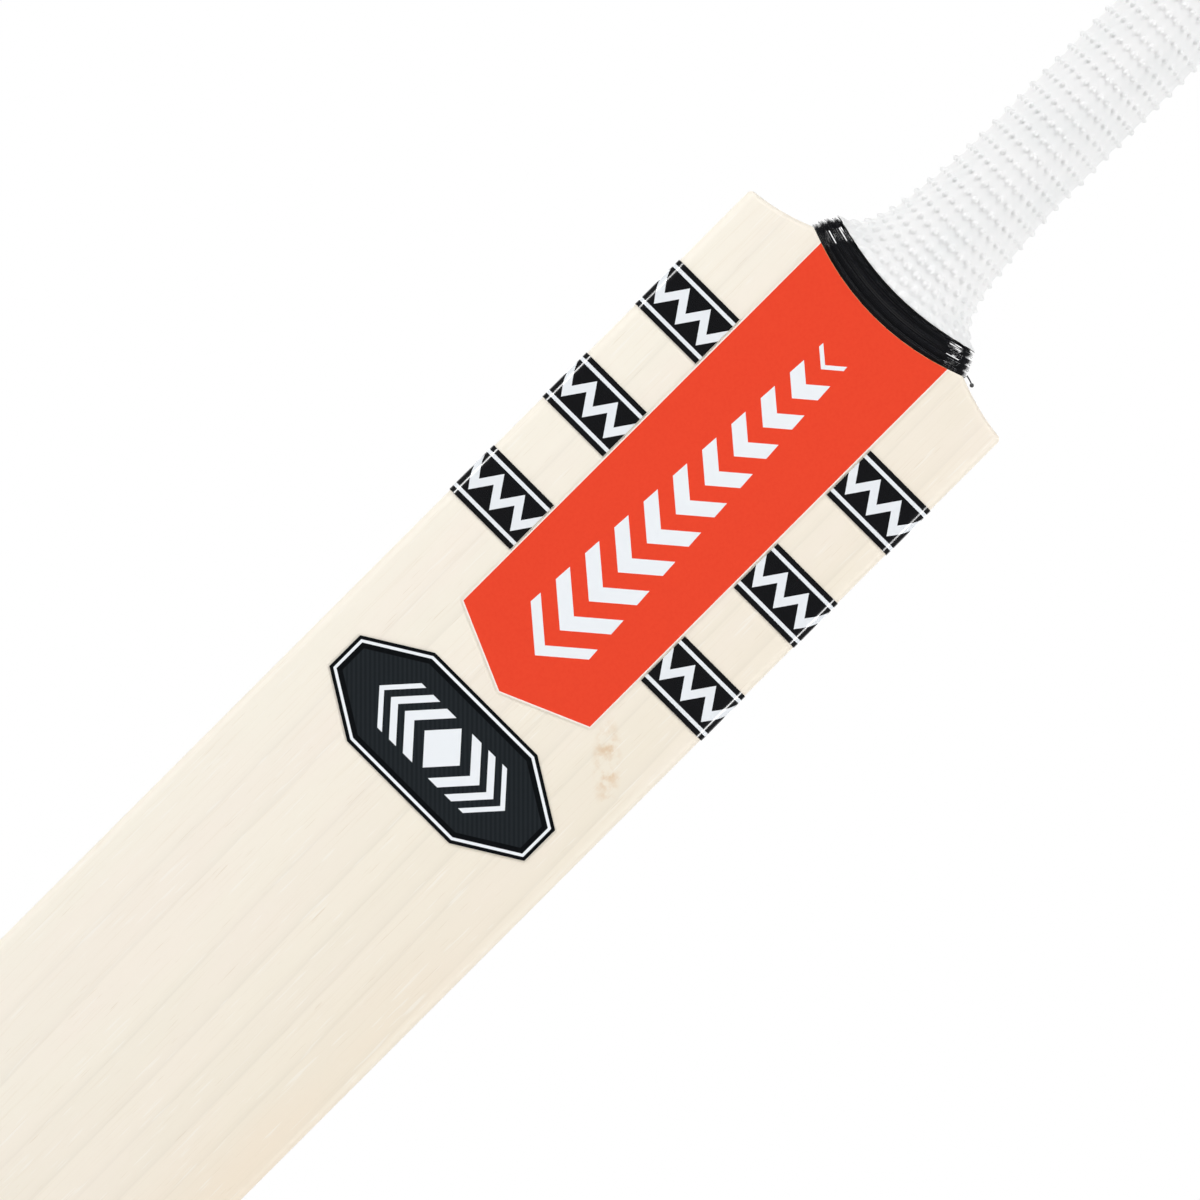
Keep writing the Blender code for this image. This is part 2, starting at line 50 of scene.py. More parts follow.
BLADE_WIDTH = 0.108
FACE_BOW = 0.007
FACE_CROWN = 0.0008
EDGE_DEPTHS = (0.019, 0.037, 0.0255)  # at the toe, swell and shoulders
SPINE_DEPTHS = (0.024, 0.064, 0.038)
SWELL_HEIGHT = 0.205
SPINE_FULLNESS = 1.2
FACE_ROUND = 0.0035
BACK_ROUND = 0.008
TOE_CORNER = 0.018
TOE_ROUND = 0.004
SHOULDER_DROP = 0.0052
SHOULDER_HOLLOW = 0.6
SHOULDER_CORNER = 0.0016
SCOOP_BOTTOM = 0.075
SCOOP_TOP = 0.395
SCOOP_WIDTH = 0.036
SCOOP_DEPTH = 0.011
SCOOP_RUN_OUT = 0.0014
SCOOP_END_POWER = 0.7
HANDLE_LENGTH = 0.298
HANDLE_SETBACK = 0.019
SHAFT_WIDTH = 0.0272
SHAFT_DEPTH = 0.030
THROAT_WIDTH = 0.0646
THROAT_STEP = 0.0006
THROAT_SAG = 0.0064
THROAT_SQUARENESS = 1.6
THROAT_FLARE = (  # heights over the shoulder line, and shares of the throat's extra width
    (0.0, 1.0), (0.0042, 0.915), (0.0073, 0.775), (0.0104, 0.49),
    (0.0165, 0.26), (0.0285, 0.115), (0.060, 0.0),
)
SPLICE_LENGTH = 0.145
SPLICE_WIDTH = 0.055
SPLICE_TIP_WIDTH = 0.010
WING_HEIGHT = 0.005
GLUE_GAP = 0.0003
ROOT_DEPTH = 0.012
ROOT_INSET = 0.0024
CORE_WIDTH = 0.0316
CANE_COLUMNS = ("left", "middle", "right")
SPRING_PITCH = 0.0076
SPRING_THICKNESS = 0.0014
CHEEK_TOP = 0.0165
LAYER_GAP = 0.0003
THREAD_TOP = 0.007575
BINDING_THICKNESS = 0.0005
BINDING_TOP_INSET = 0.004
HEM_CLEARANCE = 0.0004
HEM_WALL = 0.0008
HEM_RUN = 0.010
GRIP_WALL = 0.0016
LIP_WALL = 0.0018
LIP_REACH = 0.0055
PANEL_WIDTH = 0.0553
PANEL_LENGTH = 0.162
PANEL_POINT = 0.012
BAND_NAMES = ("upper", "middle", "lower")
BAND_HEIGHT = 0.019
BAND_SPACE = 0.021
BAND_DROP = 0.036
BAND_GAP = 0.0006
BAND_WRAP = 0.008
BADGE_WIDTH = 0.084
BADGE_HEIGHT = 0.038
BADGE_POINT = 0.020
BADGE_END_SHARE = 0.35
BADGE_GAP = 0.005
SIDES = (("left", -1), ("right", 1))

# Finer forms that only the visual model has
TOE_ROUND_RUN = 0.030
SHOULDER_RIM = 0.0020
THROAT_RIM = 0.0005
THROAT_RIM_REACH = 0.029
THROAT_RIM_RUN = 0.006
SCOOP_SOFTNESS = 0.0016
ROOT_HEIGHTS = (0.0, 0.0014, 0.0028, 0.0042)
ROOT_RISE = 0.001
CANE_FLARE_RUN = 0.070
CANE_FLARE_START = 0.004
CANE_SHAFT_START = 0.078
LEAST_DEPTH = 0.00001
WELD_DISTANCE = 0.000002
FILM_FOOT = 0.00005
FILM_TOP = 0.00036
FILM_MARGIN = 0.0001
STRAND_WIDTH = 0.0005
STRAND_THICKNESS = 0.00036
STRAND_EDGE = (  # half a section, in shares of half its width and half its thickness
    (0.55, 1.0), (0.75, 1.0), (0.86, 0.97), (0.94, 0.85), (0.99, 0.5), (1.0, 0.0), (0.8, -1.0),
)
STRANDS_PER_CORD = 4
CORDS = 4
CORD_BULGE = 0.0006
CORD_SQUARENESS = 4
CORD_LEAN = 0.4
CORD_CATCH = 0.22
STRAND_WAVER = 0.00003
STRAND_ROLL = 0.11
STRAND_UP = 0.1  # share of a cord, for the strand's upward direction
UPPER_ROLL = 0.08
LOWER_ROLL = -0.28
ROLL_START = 0.35
ROLL_RUN = 0.2
STRAND_STEP = 0.0012
SLEEVE_FOOT = 0.00005
SLEEVE_TOP = 0.00033
TAIL_RADIUS = 0.00022
TAIL_HEIGHT = 0.0016
TAIL_BEND = (0.0005, 0.0, 0.0003)
TAIL_KNOT = (0.0361, 0.0085, 0.5603)
KNOT_RADIUS = 0.00034
KNOT_TURN = 0.00034
KNOT_FLATNESS = 0.6
SLEEVE_PITCH = 0.0011
GROOVE_SHARE = 0.4
PIMPLES_ROUND = 32
SHAFT_RADIUS = 0.017
GRIP_GROUND = 0.0011
PIMPLE_HEIGHT = 0.00115
PIMPLE_RADIUS = 0.00105
FIRST_ROW = 0.00385
FIRST_SPACING = 0.0038
ROW_SPACING = 0.00545
SPACING_RUN = 0.030
LAST_ROW_INSET = 0.006
ROW_SWAY = 0.12
RIB_HEIGHT = 0.00005
RIB_REACH = 0.0021
RIB_EDGE = 0.0008
HEM_ROUND = 0.0003
HEM_START = 0.0005
LIP_START = 0.002
INSIDE_HEM = 0.001
INSIDE_MARGIN = 0.002

# Mesh counts
TURN_POINTS = 1440
RIM_STEPS = 15
TOE_STEPS = 9
SHOULDER_STEPS = 8
WALL_STEPS = 7
BLADE_COLUMNS = 93
BLADE_ROWS = 190
ROOT_SIDES = 192
TIP_STEPS = 24
STRIP_POINTS = 13
SAG_ROUNDS = 4
WAVERS_PER_LOOP = 4
TAIL_STEPS = 14
TAIL_SIDES = 8
KNOT_STEPS = 24
SLEEVE_SIDES = 160
SLEEVE_ROWS = 14
HIDDEN_SIDES = 48
RIDGE_STEPS = 4
ROW_ROUNDS = 30
PIMPLE_STEPS = (0.0, 0.35, 0.65, 0.88, 1.0)  # shares of its radius
ROUND_STEPS = 7
LIP_STEPS = 6
BAND_ROWS = 13
BADGE_ROWS = 31

# Patterns of the finishes, in millimetres unless they are shares or shades
GRAIN_LINES = (-37.5, -25.0, -8.0, 5.5, 15.5, 25.0, 34.5, 48.9)
GRAIN_STEPS = (-3.0, -0.6, 0.0, 0.5)
GRAIN_LEAN = 0.012
GRAIN_TILT = 0.22
GRAIN_LEVEL = 300.0
GRAIN_WANDER = 4.0
GRAIN_SHADE = 8
GRAIN_SIDE_SHADE = 3
STRIP_SHADE = 1.5
WARM_SIDE = (22, 52)
WARM_HEIGHTS = (365, 265)
BLEMISH_PLACE = (38.5, 400)
BLEMISH_LEAN = (0.68, 0.73)
BLEMISH_REACH = (15, 5)
BLEMISH_DEPTHS = (8, 2)
INK_SOFTNESS = 0.05
LINE_SOFTNESS = 0.06
SIDE_KEYLINE = 0.40
FOOT_KEYLINE = 0.55
CHEVRON_SLOPE = 0.85
CHEVRON_PITCH = 12.5
CHEVRON_SPAN = (0.14, 0.62)
CHEVRON_SOFTNESS = 0.006
PLUME_WIDTH = 14.2
PLUME_TAPER = 0.062
PLUME_SPAN = (16, 141)
BORDER_INSETS = (2.9, 1.7)
ZIGZAG_PITCH = 9.0
ZIGZAG_HEIGHT = 6.5
ZIGZAG_LINE = 2.3
BADGE_FRAME = 3.65
BADGE_KEYLINE = (-2.0, -1.1)
BADGE_BARS = ((12, 16), (19, 22), (25, 27))
BAR_SLOPE = 0.9
BAR_REACH = 9.55
LOZENGE_REACH = 7.55
WEAVE_RATE = 0.5

# Display colours, 0 to 255
# Left and right willow tones: the darker right is partly painted shade, as if lit from the left, and
# partly a warmer wood tone
WILLOW_LEFT_LIT = (249, 243, 230)
WILLOW_RIGHT_SHADED_WARM = (244, 235, 218)
WILLOW_CLOUD = (248, 237, 225)
WILLOW_WARM = (244, 229, 207)
WILLOW_FIBRE = (232, 219, 198)
WILLOW_FLECK = (253, 249, 241)
WILLOW_PORE = (216, 199, 172)
WILLOW_BLEMISH = (222, 190, 152)
CANE_TONES = ((0.25, (178, 139, 88)), (0.5, (209, 175, 124)), (0.75, (224, 195, 148)))
CANE_STRIP = (190, 150, 98)
CANE_BUNDLE = (134, 96, 56)
SPRING_RUBBER = (52, 44, 42)
SPRING_WORN = (64, 56, 53)
GRIP_RUBBER = (240, 240, 240)
GRIP_WORN = (236, 237, 237)
THREAD_BLACK = (2, 3, 8)
THREAD_WORN = (9, 11, 19)
WHITE_INK = (238, 242, 246)
PANEL_RED = (236, 72, 45)
PANEL_GRAIN = (233, 66, 41)
PANEL_KEYLINE = (250, 240, 232)
BAND_BLACK = (3, 4, 8)
BAND_GRAIN = (6, 7, 11)
BADGE_BLACK = (7, 10, 13)
BADGE_GRAIN = (14, 17, 20)
BADGE_FIELD = (34, 39, 43)
BADGE_WEAVE = (20, 24, 27)
FLOOR_GREY = (226, 226, 226)
FLOOR_MOTTLE = (231, 231, 231)

# Stage
FILL_LEVEL = 0.14
LAMP_PAIRS = (  # name, place on the right, height aimed at, size, watts and the right lamp's share
    ("high", (1.8, -0.85, 1.22), 0.5, (1.6, 0.18), 18.5, 0.95),
    ("edge", (1.8, -0.85, 0.44), 0.44, (0.4, 0.3), 8.5, 0.95),
    ("back", (0.9, 2.0, 1.2), 0.5, (1.6, 1.6), 15.0, 1.0),
)
TOP_LAMP = ((0.0, -1.3, 2.9), 0.5, (1.4, 0.8), 25.0)  # place, height aimed at, size and watts
FLOOR_REACH = 6.0
FLOOR_SIDES = 96
FLOOR_FADE = (250.0, 1100.0)  # millimetres
CAMERA_DISTANCE = 4.0
SENSOR_WIDTH = 36.0
CLIP_END = 100.0
VIEW_REACH = 0.3657
VIEW_CENTRE = (0.0021, 0.4335)

# Worked out from the sizes above
HALF_WIDTH = BLADE_WIDTH / 2
FACE_AT_TOE = -SPINE_DEPTHS[0] / 2
HANDLE_Y = FACE_AT_TOE + FACE_BOW + HANDLE_SETBACK
THROAT_FRONT = HANDLE_SETBACK - THROAT_STEP
THROAT_BACK = SPINE_DEPTHS[2] - HANDLE_SETBACK - THROAT_STEP
FLARE_TOP = THROAT_FLARE[-1][0]
HEM_HEIGHT = THREAD_TOP + HEM_CLEARANCE
BINDING_LIFT = LAYER_GAP
GRIP_LIFT = BINDING_LIFT + BINDING_THICKNESS + LAYER_GAP
LIP_ROUND = LIP_WALL / 2
PANEL_FOOT = BLADE_LENGTH - THROAT_SAG - PANEL_LENGTH
BADGE_MIDDLE = PANEL_FOOT - BADGE_GAP - BADGE_HEIGHT / 2
TIP_HEIGHT = BLADE_LENGTH - SPLICE_LENGTH
SPLICE_RISE = (SPLICE_WIDTH - SPLICE_TIP_WIDTH) / 2 / SPLICE_LENGTH

chance = np.random.default_rng(7)


# Blade surfaces


def smooth(value):
    value = np.clip(value, 0.0, 1.0)
    return value * value * (3 - 2 * value)


def quarter(distance, radius):
    """How far a rounded rim has drawn in at a distance from it."""
    short = np.clip(radius - distance, 0.0, radius)
    return radius - np.sqrt(radius**2 - short**2)


def along_blade(z, depths):
    toe, swell, shoulder = depths
    rising = toe + (swell - toe) * np.sin(pi / 2 * np.clip(z / SWELL_HEIGHT, 0, 1))
    share = np.clip((z - SWELL_HEIGHT) / (BLADE_LENGTH - SWELL_HEIGHT), 0, 1)
    easing = swell + (shoulder - swell) * (1 - np.cos(pi * share)) / 2
    return np.where(z < SWELL_HEIGHT, rising, easing)


def face_line(z):
    share = np.clip(z / BLADE_LENGTH, 0, 1)
    return FACE_AT_TOE + FACE_BOW * (1 - (1 - share) ** 2)


def face_y(x, z):
    return face_line(z) + FACE_CROWN * (x / HALF_WIDTH) ** 2


def throat_arch(x):
    return BLADE_LENGTH - THROAT_SAG * (1 - (2 * x / THROAT_WIDTH) ** 2)


def shoulder_line(x):
    """The top line before its corners are rounded, and the cosine of its slope."""
    out = np.abs(x)
    throat = THROAT_WIDTH / 2
    run = HALF_WIDTH - SHOULDER_CORNER - throat
    share = (out - throat) / run
    line = BLADE_LENGTH - SHOULDER_DROP * share * (1 + SHOULDER_HOLLOW * (1 - share))
    slope = SHOULDER_DROP / run * (1 + SHOULDER_HOLLOW * (1 - 2 * share))
    arch_slope = 2 * THROAT_SAG * out / throat**2
    in_throat = out < throat
    height = np.where(in_throat, throat_arch(out), line)
    return height, 1 / np.hypot(1, np.where(in_throat, arch_slope, slope))


def top_line(x):
    height, cosine = shoulder_line(x)
    return height - quarter(HALF_WIDTH - np.abs(x), SHOULDER_CORNER) / cosine


def corner_distance(a, b, radius):
    """Distance to a rounded corner's rim, from those to its two sides."""
    near = radius - np.hypot(np.maximum(radius - a, 0), np.maximum(radius - b, 0))
    return np.where(np.minimum(a, b) >= radius, np.minimum(a, b), near)


def rim_inset(x, z, side_round):
    """How far the rounded rim draws the face or the back in."""
    side = HALF_WIDTH - np.abs(x)
    height, cosine = shoulder_line(x)
    below = (height - z) * cosine
    at_toe = np.maximum(corner_distance(side, z, TOE_CORNER), 0)
    at_shoulder = np.maximum(corner_distance(side, below, SHOULDER_CORNER), 0)
    radius = TOE_ROUND + (side_round - TOE_ROUND) * smooth(z / TOE_ROUND_RUN)
    beside_throat = smooth((np.abs(x) - THROAT_RIM_REACH) / THROAT_RIM_RUN)
    top_round = THROAT_RIM + (SHOULDER_RIM - THROAT_RIM) * beside_throat
    return np.maximum(quarter(at_toe, radius), quarter(at_shoulder, top_round))


def scoop_y(x, z):
    half = SCOOP_WIDTH / 2
    radius = (half**2 + SCOOP_DEPTH**2) / (2 * SCOOP_DEPTH)
    share = (z - SCOOP_BOTTOM) / (SCOOP_TOP - SCOOP_BOTTOM)
    rise = np.sin(pi * np.clip(share, 0, 1)) ** SCOOP_END_POWER
    beyond = np.maximum(np.abs(share - 0.5) - 0.5, 0)
    bite = (SCOOP_DEPTH + SCOOP_RUN_OUT) * rise - SCOOP_RUN_OUT - beyond
    centre = face_line(z) + along_blade(z, SPINE_DEPTHS) + radius - bite
    return centre - np.sqrt(np.maximum(radius**2 - x**2, 0))


def plain_back_y(x, z):
    edge = along_blade(z, EDGE_DEPTHS)
    spine = along_blade(z, SPINE_DEPTHS)
    share = np.clip(np.abs(x) / (HALF_WIDTH - BACK_ROUND), 0, 1)
    rise = np.cos(pi / 2 * share**SPINE_FULLNESS) ** 2
    return face_line(z) + edge + (spine - edge) * rise


def back_y(x, z):
    plain = plain_back_y(x, z)
    gouge = scoop_y(x, z)
    share = np.clip(0.5 + 0.5 * (gouge - plain) / SCOOP_SOFTNESS, 0, 1)
    softened = gouge + (plain - gouge) * share - SCOOP_SOFTNESS * share * (1 - share)
    return softened - rim_inset(x, z, BACK_ROUND)


def on_front(across, z, lift):
    """Points at distances from the middle, over the face, its edge and the wall."""
    side = np.sign(across)
    distance = np.abs(across)
    flat = HALF_WIDTH - FACE_ROUND
    angle = np.clip((distance - flat) / FACE_ROUND, 0, pi / 2)
    down = np.maximum(distance - flat - FACE_ROUND * pi / 2, 0)
    reach = np.minimum(distance, flat)
    x = reach + (FACE_ROUND + lift) * np.sin(angle)
    y = face_y(reach, z) + FACE_ROUND - (FACE_ROUND + lift) * np.cos(angle) + down
    return np.stack([side * x, y, z + 0 * x], -1)


# Handle surfaces


def flare(height):
    """The share of the throat's extra width at a height."""
    places, values = np.array(THROAT_FLARE).T
    slopes = np.diff(values) / np.diff(places)
    inner = 2 * slopes[:-1] * slopes[1:] / (slopes[:-1] + slopes[1:])
    tangents = np.concatenate([slopes[:1], inner, [0.0]])
    inside = np.clip(height, places[0], places[-1])
    i = np.clip(np.searchsorted(places, inside, side="right") - 1, 0, len(slopes) - 1)
    run = places[i + 1] - places[i]
    t = (inside - places[i]) / run
    start = values[i] + t * t * (3 - 2 * t) * (values[i + 1] - values[i])
    return start + run * t * (1 - t) * ((1 - t) * tangents[i] - t * tangents[i + 1])


def half_width(share):
    return SHAFT_WIDTH / 2 + (THROAT_WIDTH - SHAFT_WIDTH) / 2 * share


def half_depth(share, foot):
    """Depth from the axis at a share of the flare, given that at the throat."""
    return SHAFT_DEPTH / 2 + (foot - SHAFT_DEPTH / 2) * share


def on_handle(angle, height, lift):
    """Points on the handle, or lifted off it."""
    share = flare(height)
    cosine, sine = np.cos(angle), np.sin(angle)
    depth = half_depth(share, np.where(sine >= 0, THROAT_BACK, THROAT_FRONT))
    power = np.where(sine >= 0, 2.0, 2 + THROAT_SQUARENESS * share)
    across = np.sign(cosine) * np.abs(cosine) ** (2 / power)
    through = np.sign(sine) * np.abs(sine) ** (2 / power)
    x = (half_width(share) + lift) * across
    z = BLADE_LENGTH + height - THROAT_SAG * share * (1 - across**2)
    return np.stack([x, HANDLE_Y + (depth + lift) * through, z], -1)


def lengths_along(path):
    return np.concatenate([[0], np.cumsum(np.linalg.norm(np.diff(path, axis=0), axis=1))])


def round_angles(count):
    return np.linspace(0, 2 * pi, count, endpoint=False)


# Mesh building


def grid_faces(rows, columns, wrap=False, closed=False):
    """Faces of a grid; rows may wrap, and the last row may join the first."""
    row = np.arange(rows if closed else rows - 1)[:, None] * columns
    column = np.arange(columns if wrap else columns - 1)
    over, beside = (row + columns) % (rows * columns), (column + 1) % columns
    corners = [row + column, row + beside, over + beside, over + column]
    return np.stack(corners, -1).reshape(-1, 4).tolist()


def slab(front, back, wall_steps):
    """Points and faces of two grids of points, with a wall between their rims."""
    rows, columns = front.shape[:2]
    front, back = front.reshape(-1, 3), back.reshape(-1, 3)
    count = len(front)
    index = np.arange(count).reshape(rows, columns)
    rim = np.concatenate([index[0], index[1:, -1], index[-1, -2::-1], index[-2:0:-1, 0]])
    shares = np.linspace(0, 1, wall_steps)[1:-1, None, None]
    wall = front[rim] + (back[rim] - front[rim]) * shares
    loops = [rim] + [2 * count + k * len(rim) + np.arange(len(rim)) for k in range(len(wall))]
    loops.append(rim + count)
    faces = grid_faces(rows, columns)
    faces += [[i + count for i in face] for face in faces]
    for lower, upper in zip(loops, loops[1:]):
        faces += np.stack([lower, np.roll(lower, -1), np.roll(upper, -1), upper], -1).tolist()
    return np.concatenate([front, back, wall.reshape(-1, 3)]), faces


def ring_mesh(rings, closed):
    """A skin over rings, capped or with the last ring joined to the first."""
    rings = np.asarray(rings)
    count, sides = rings.shape[:2]
    faces = grid_faces(count, sides, True, closed)
    if not closed:
        faces += [list(range(sides))[::-1], list(range((count - 1) * sides, count * sides))]
    return rings.reshape(-1, 3), faces


def joined(*shapes):
    points, faces, start = [], [], 0
    for shape_points, shape_faces in shapes:
        points.append(shape_points)
        faces += [[start + i for i in face] for face in shape_faces]
        start += len(shape_points)
    return np.concatenate(points), faces


@contextmanager
def editing(mesh):
    """Opens a mesh for bmesh operations, and writes it back."""
    shape = bmesh.new()
    shape.from_mesh(mesh)
    yield shape
    shape.to_mesh(mesh)
    shape.free()


def add_object(name, data):
    obj = bpy.data.objects.new(name, data)
    bpy.context.scene.collection.objects.link(obj)
    return obj


def mesh_object(name, points, faces, print_map=None, welded=False):
    mesh = bpy.data.meshes.new(name)
    mesh.from_pydata(np.asarray(points).tolist(), [], faces)
    with editing(mesh) as shape:
        if welded:
            bmesh.ops.remove_doubles(shape, verts=shape.verts, dist=WELD_DISTANCE)
        bmesh.ops.recalc_face_normals(shape, faces=shape.faces)
    if print_map is not None:
        corners = [loop.vertex_index for loop in mesh.loops]
        layer = mesh.uv_layers.new(name="print")
        layer.data.foreach_set("uv", print_map[corners].ravel())
    return add_object(name, mesh)


def piece(obj, nodes, finish, sharp=35):
    """Makes an object a piece; edges over the sharp angle, in degrees, stay hard."""
    obj.data.shade_smooth()
    obj.data.set_sharp_from_angle(angle=math.radians(sharp))
    obj.data.materials.clear()
    obj.data.materials.append(finish)
    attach(obj, "root")
    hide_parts(*nodes)


def cut(obj, steps):
    """Runs Boolean steps on an object and removes their helpers."""
    for operation, other in steps:
        modifier = obj.modifiers.new(operation, "BOOLEAN")
        modifier.operation = operation
        modifier.solver = "EXACT"
        modifier.object = other
    bpy.context.view_layer.update()
    graph = bpy.context.evaluated_depsgraph_get()
    mesh = bpy.data.meshes.new_from_object(obj.evaluated_get(graph))
    obj.modifiers.clear()
    obj.data = mesh
    for _, other in steps:
        bpy.data.objects.remove(other, do_unlink=True)


def mend(mesh):
    """Joins points that meet, and removes folded pairs of faces that a Boolean left."""
    with editing(mesh) as shape:
        bmesh.ops.remove_doubles(shape, verts=shape.verts, dist=WELD_DISTANCE)
        bmesh.ops.triangulate(shape, faces=shape.faces)
        alike = {}
        for face in shape.faces:
            alike.setdefault(frozenset(face.verts), []).append(face)
        folded = [face for group in alike.values() if len(group) > 1 for face in group]
        bmesh.ops.delete(shape, geom=folded, context="FACES")


# Shader building


def mm(metres):
    return 1000 * metres


def paint(colour):
    """A display colour as the linear colour of shaders."""
    parts = [c / 255 for c in colour]
    return (*[c / 12.92 if c <= 0.04045 else ((c + 0.055) / 1.055) ** 2.4 for c in parts], 1.0)


def feed(node, inputs):
    """Sets inputs of a shader node, or links them."""
    for key, value in inputs.items():
        if isinstance(value, Field):
            value = value.source
        if isinstance(value, bpy.types.NodeSocket):
            node.id_data.links.new(value, node.inputs[key])
        else:
            node.inputs[key].default_value = value


def add_node(tree, kind, inputs, **settings):
    node = tree.nodes.new("ShaderNode" + kind)
    for name, value in settings.items():
        setattr(node, name, value)
    feed(node, inputs)
    return node


class Field:
    """A number that varies over a surface."""

    def __init__(self, source):
        self.source = source
        self.tree = source.id_data

    def math(self, operation, *others):
        inputs = dict(enumerate((self, *others)))
        return Field(add_node(self.tree, "Math", inputs, operation=operation).outputs[0])

    def __add__(self, other):
        return self.math("ADD", other)

    def __sub__(self, other):
        return self.math("SUBTRACT", other)

    def __mul__(self, other):
        return self.math("MULTIPLY", other)

    def size(self):
        return self.math("ABSOLUTE")

    def most(self, other):
        return self.math("MAXIMUM", other)

    def fraction(self):
        return self.math("FRACT")

    def rise(self, low, high):
        """0 at one value and 1 at the other, eased between."""
        inputs = {"Value": self, "From Min": low, "From Max": high}
        node = add_node(self.tree, "MapRange", inputs, interpolation_type="SMOOTHSTEP")
        return Field(node.outputs["Result"])

    def past(self, limit, soft=INK_SOFTNESS):
        return self.rise(limit - soft, limit + soft)

    def short_of(self, limit, soft=INK_SOFTNESS):
        return self.rise(limit + soft, limit - soft)

    def within(self, low, high, soft=LINE_SOFTNESS):
        return self.past(low, soft) * self.short_of(high, soft)


class Finish:
    """A material whose colour is painted in layers."""

    def __init__(self, name, specular):
        self.material = bpy.data.materials.new(name)
        self.material.use_nodes = True
        self.tree = self.material.node_tree
        self.shader = self.tree.nodes["Principled BSDF"]
        feed(self.shader, {"Specular IOR Level": specular})
        self.colour = None
        metres = add_node(self.tree, "TexCoord", {}).outputs["Object"]
        inputs = {0: metres, "Scale": mm(1)}
        self.place = add_node(self.tree, "VectorMath", inputs, operation="SCALE").outputs[0]

    def axes(self):
        """Fields of the object coordinates, in millimetres."""
        return [Field(output) for output in add_node(self.tree, "SeparateXYZ", {0: self.place}).outputs]

    def print_axes(self):
        """A film's map in millimetres."""
        uv = add_node(self.tree, "UVMap", {}, uv_map="print").outputs[0]
        across, up, _ = add_node(self.tree, "SeparateXYZ", {0: uv}).outputs
        return Field(across) * mm(1), Field(up) * mm(1)

    def noise(self, stretch, detail=2.0, roughness=0.5):
        """Noise, with its swings per millimetre along each axis."""
        scaled = add_node(self.tree, "VectorMath", {0: self.place, 1: stretch}, operation="MULTIPLY")
        inputs = {"Vector": scaled.outputs[0], "Scale": 1.0, "Detail": detail, "Roughness": roughness}
        return Field(add_node(self.tree, "TexNoise", inputs).outputs["Fac"])

    def ground(self, colour):
        self.colour = paint(colour)

    def ramp(self, field, stops):
        node = add_node(self.tree, "ValToRGB", {"Fac": field})
        elements = node.color_ramp.elements
        while len(elements) < len(stops):
            elements.new(0.5)
        for element, (position, colour) in zip(elements, stops):
            element.position = position
            element.color = paint(colour)
        self.colour = node.outputs["Color"]

    def layer(self, share, colour):
        """Lays a colour over what is painted so far."""
        inputs = {0: share, 6: self.colour, 7: paint(colour)}
        self.colour = add_node(self.tree, "Mix", inputs, data_type="RGBA").outputs[2]

    def bump(self, height, strength, distance):
        inputs = {"Height": height, "Strength": strength, "Distance": distance}
        feed(self.shader, {"Normal": add_node(self.tree, "Bump", inputs).outputs["Normal"]})

    def done(self, roughness):
        feed(self.shader, {"Base Color": self.colour, "Roughness": roughness})
        return self.material


# Finishes


def strip_tone(line, shade):
    """The willow's colour at a grain line, less a shade: paler on the left and darker, warmer on the
    right, partly painted shade as if lit from the left and partly a warmer wood tone.
    """
    share = line / mm(BLADE_WIDTH) + 0.5
    return [a + (b - a) * share - shade for a, b in zip(WILLOW_LEFT_LIT, WILLOW_RIGHT_SHADED_WARM)]


def willow_finish():
    """Pale willow: straight grain lines, fine fibres, flecks and a warmer side."""
    wood = Finish("willow", 0.5)
    x, y, z = wood.axes()
    wander = (wood.noise((0.03, 0.03, 0.006), detail=1.0) - 0.5) * GRAIN_WANDER
    across = x + y * GRAIN_TILT + (z - GRAIN_LEVEL) * GRAIN_LEAN + wander
    stops = []
    for k, line in enumerate(GRAIN_LINES):
        strip = STRIP_SHADE * (k % 2)
        shades = (strip, strip + GRAIN_SIDE_SHADE, GRAIN_SHADE, STRIP_SHADE - strip)
        for step, shade in zip(GRAIN_STEPS, shades):
            stops.append(((line + step) / mm(BLADE_WIDTH) + 0.5, strip_tone(line, shade)))
    wood.ramp(across * (1 / mm(BLADE_WIDTH)) + 0.5, stops)
    cloud = wood.noise((0.05, 0.05, 0.012))
    wood.layer(cloud.rise(0.40, 0.75) * 0.5, WILLOW_CLOUD)
    warm = x.rise(*WARM_SIDE) * z.rise(*WARM_HEIGHTS) * cloud.rise(0.25, 0.7)
    wood.layer(warm * 0.7, WILLOW_WARM)
    fibre = wood.noise((1.9, 1.9, 0.022), detail=3.0, roughness=0.6)
    wood.layer(fibre.rise(0.46, 0.30) * 0.22, WILLOW_FIBRE)
    fleck = wood.noise((1.3, 1.3, 0.07), detail=1.0)
    wood.layer(fleck.rise(0.64, 0.74) * 0.4, WILLOW_FLECK)
    pore = wood.noise((2.7, 2.7, 0.09), detail=1.0)
    wood.layer(pore.rise(0.70, 0.78) * 0.3, WILLOW_PORE)
    wood.layer(blemish(wood) * 0.8, WILLOW_BLEMISH)
    wood.bump(fibre, 0.12, 0.0001)
    return wood.done(fibre * 0.2 + 0.40)


def blemish(wood):
    """The share of a swirled, leaning mark on the face."""
    x, y, z = wood.axes()
    cosine, sine = BLEMISH_LEAN
    out = x - BLEMISH_PLACE[0]
    up = z - BLEMISH_PLACE[1]
    along = (out * cosine - up * sine) * (1 / BLEMISH_REACH[0])
    beside = (out * sine + up * cosine) * (1 / BLEMISH_REACH[1])
    spread = along * along + beside * beside
    swirl = wood.noise((0.22, 0.22, 0.22), detail=3.0, roughness=0.6)
    return spread.rise(1.1, 0.0) * swirl.rise(0.40, 0.72) * y.rise(*BLEMISH_DEPTHS)


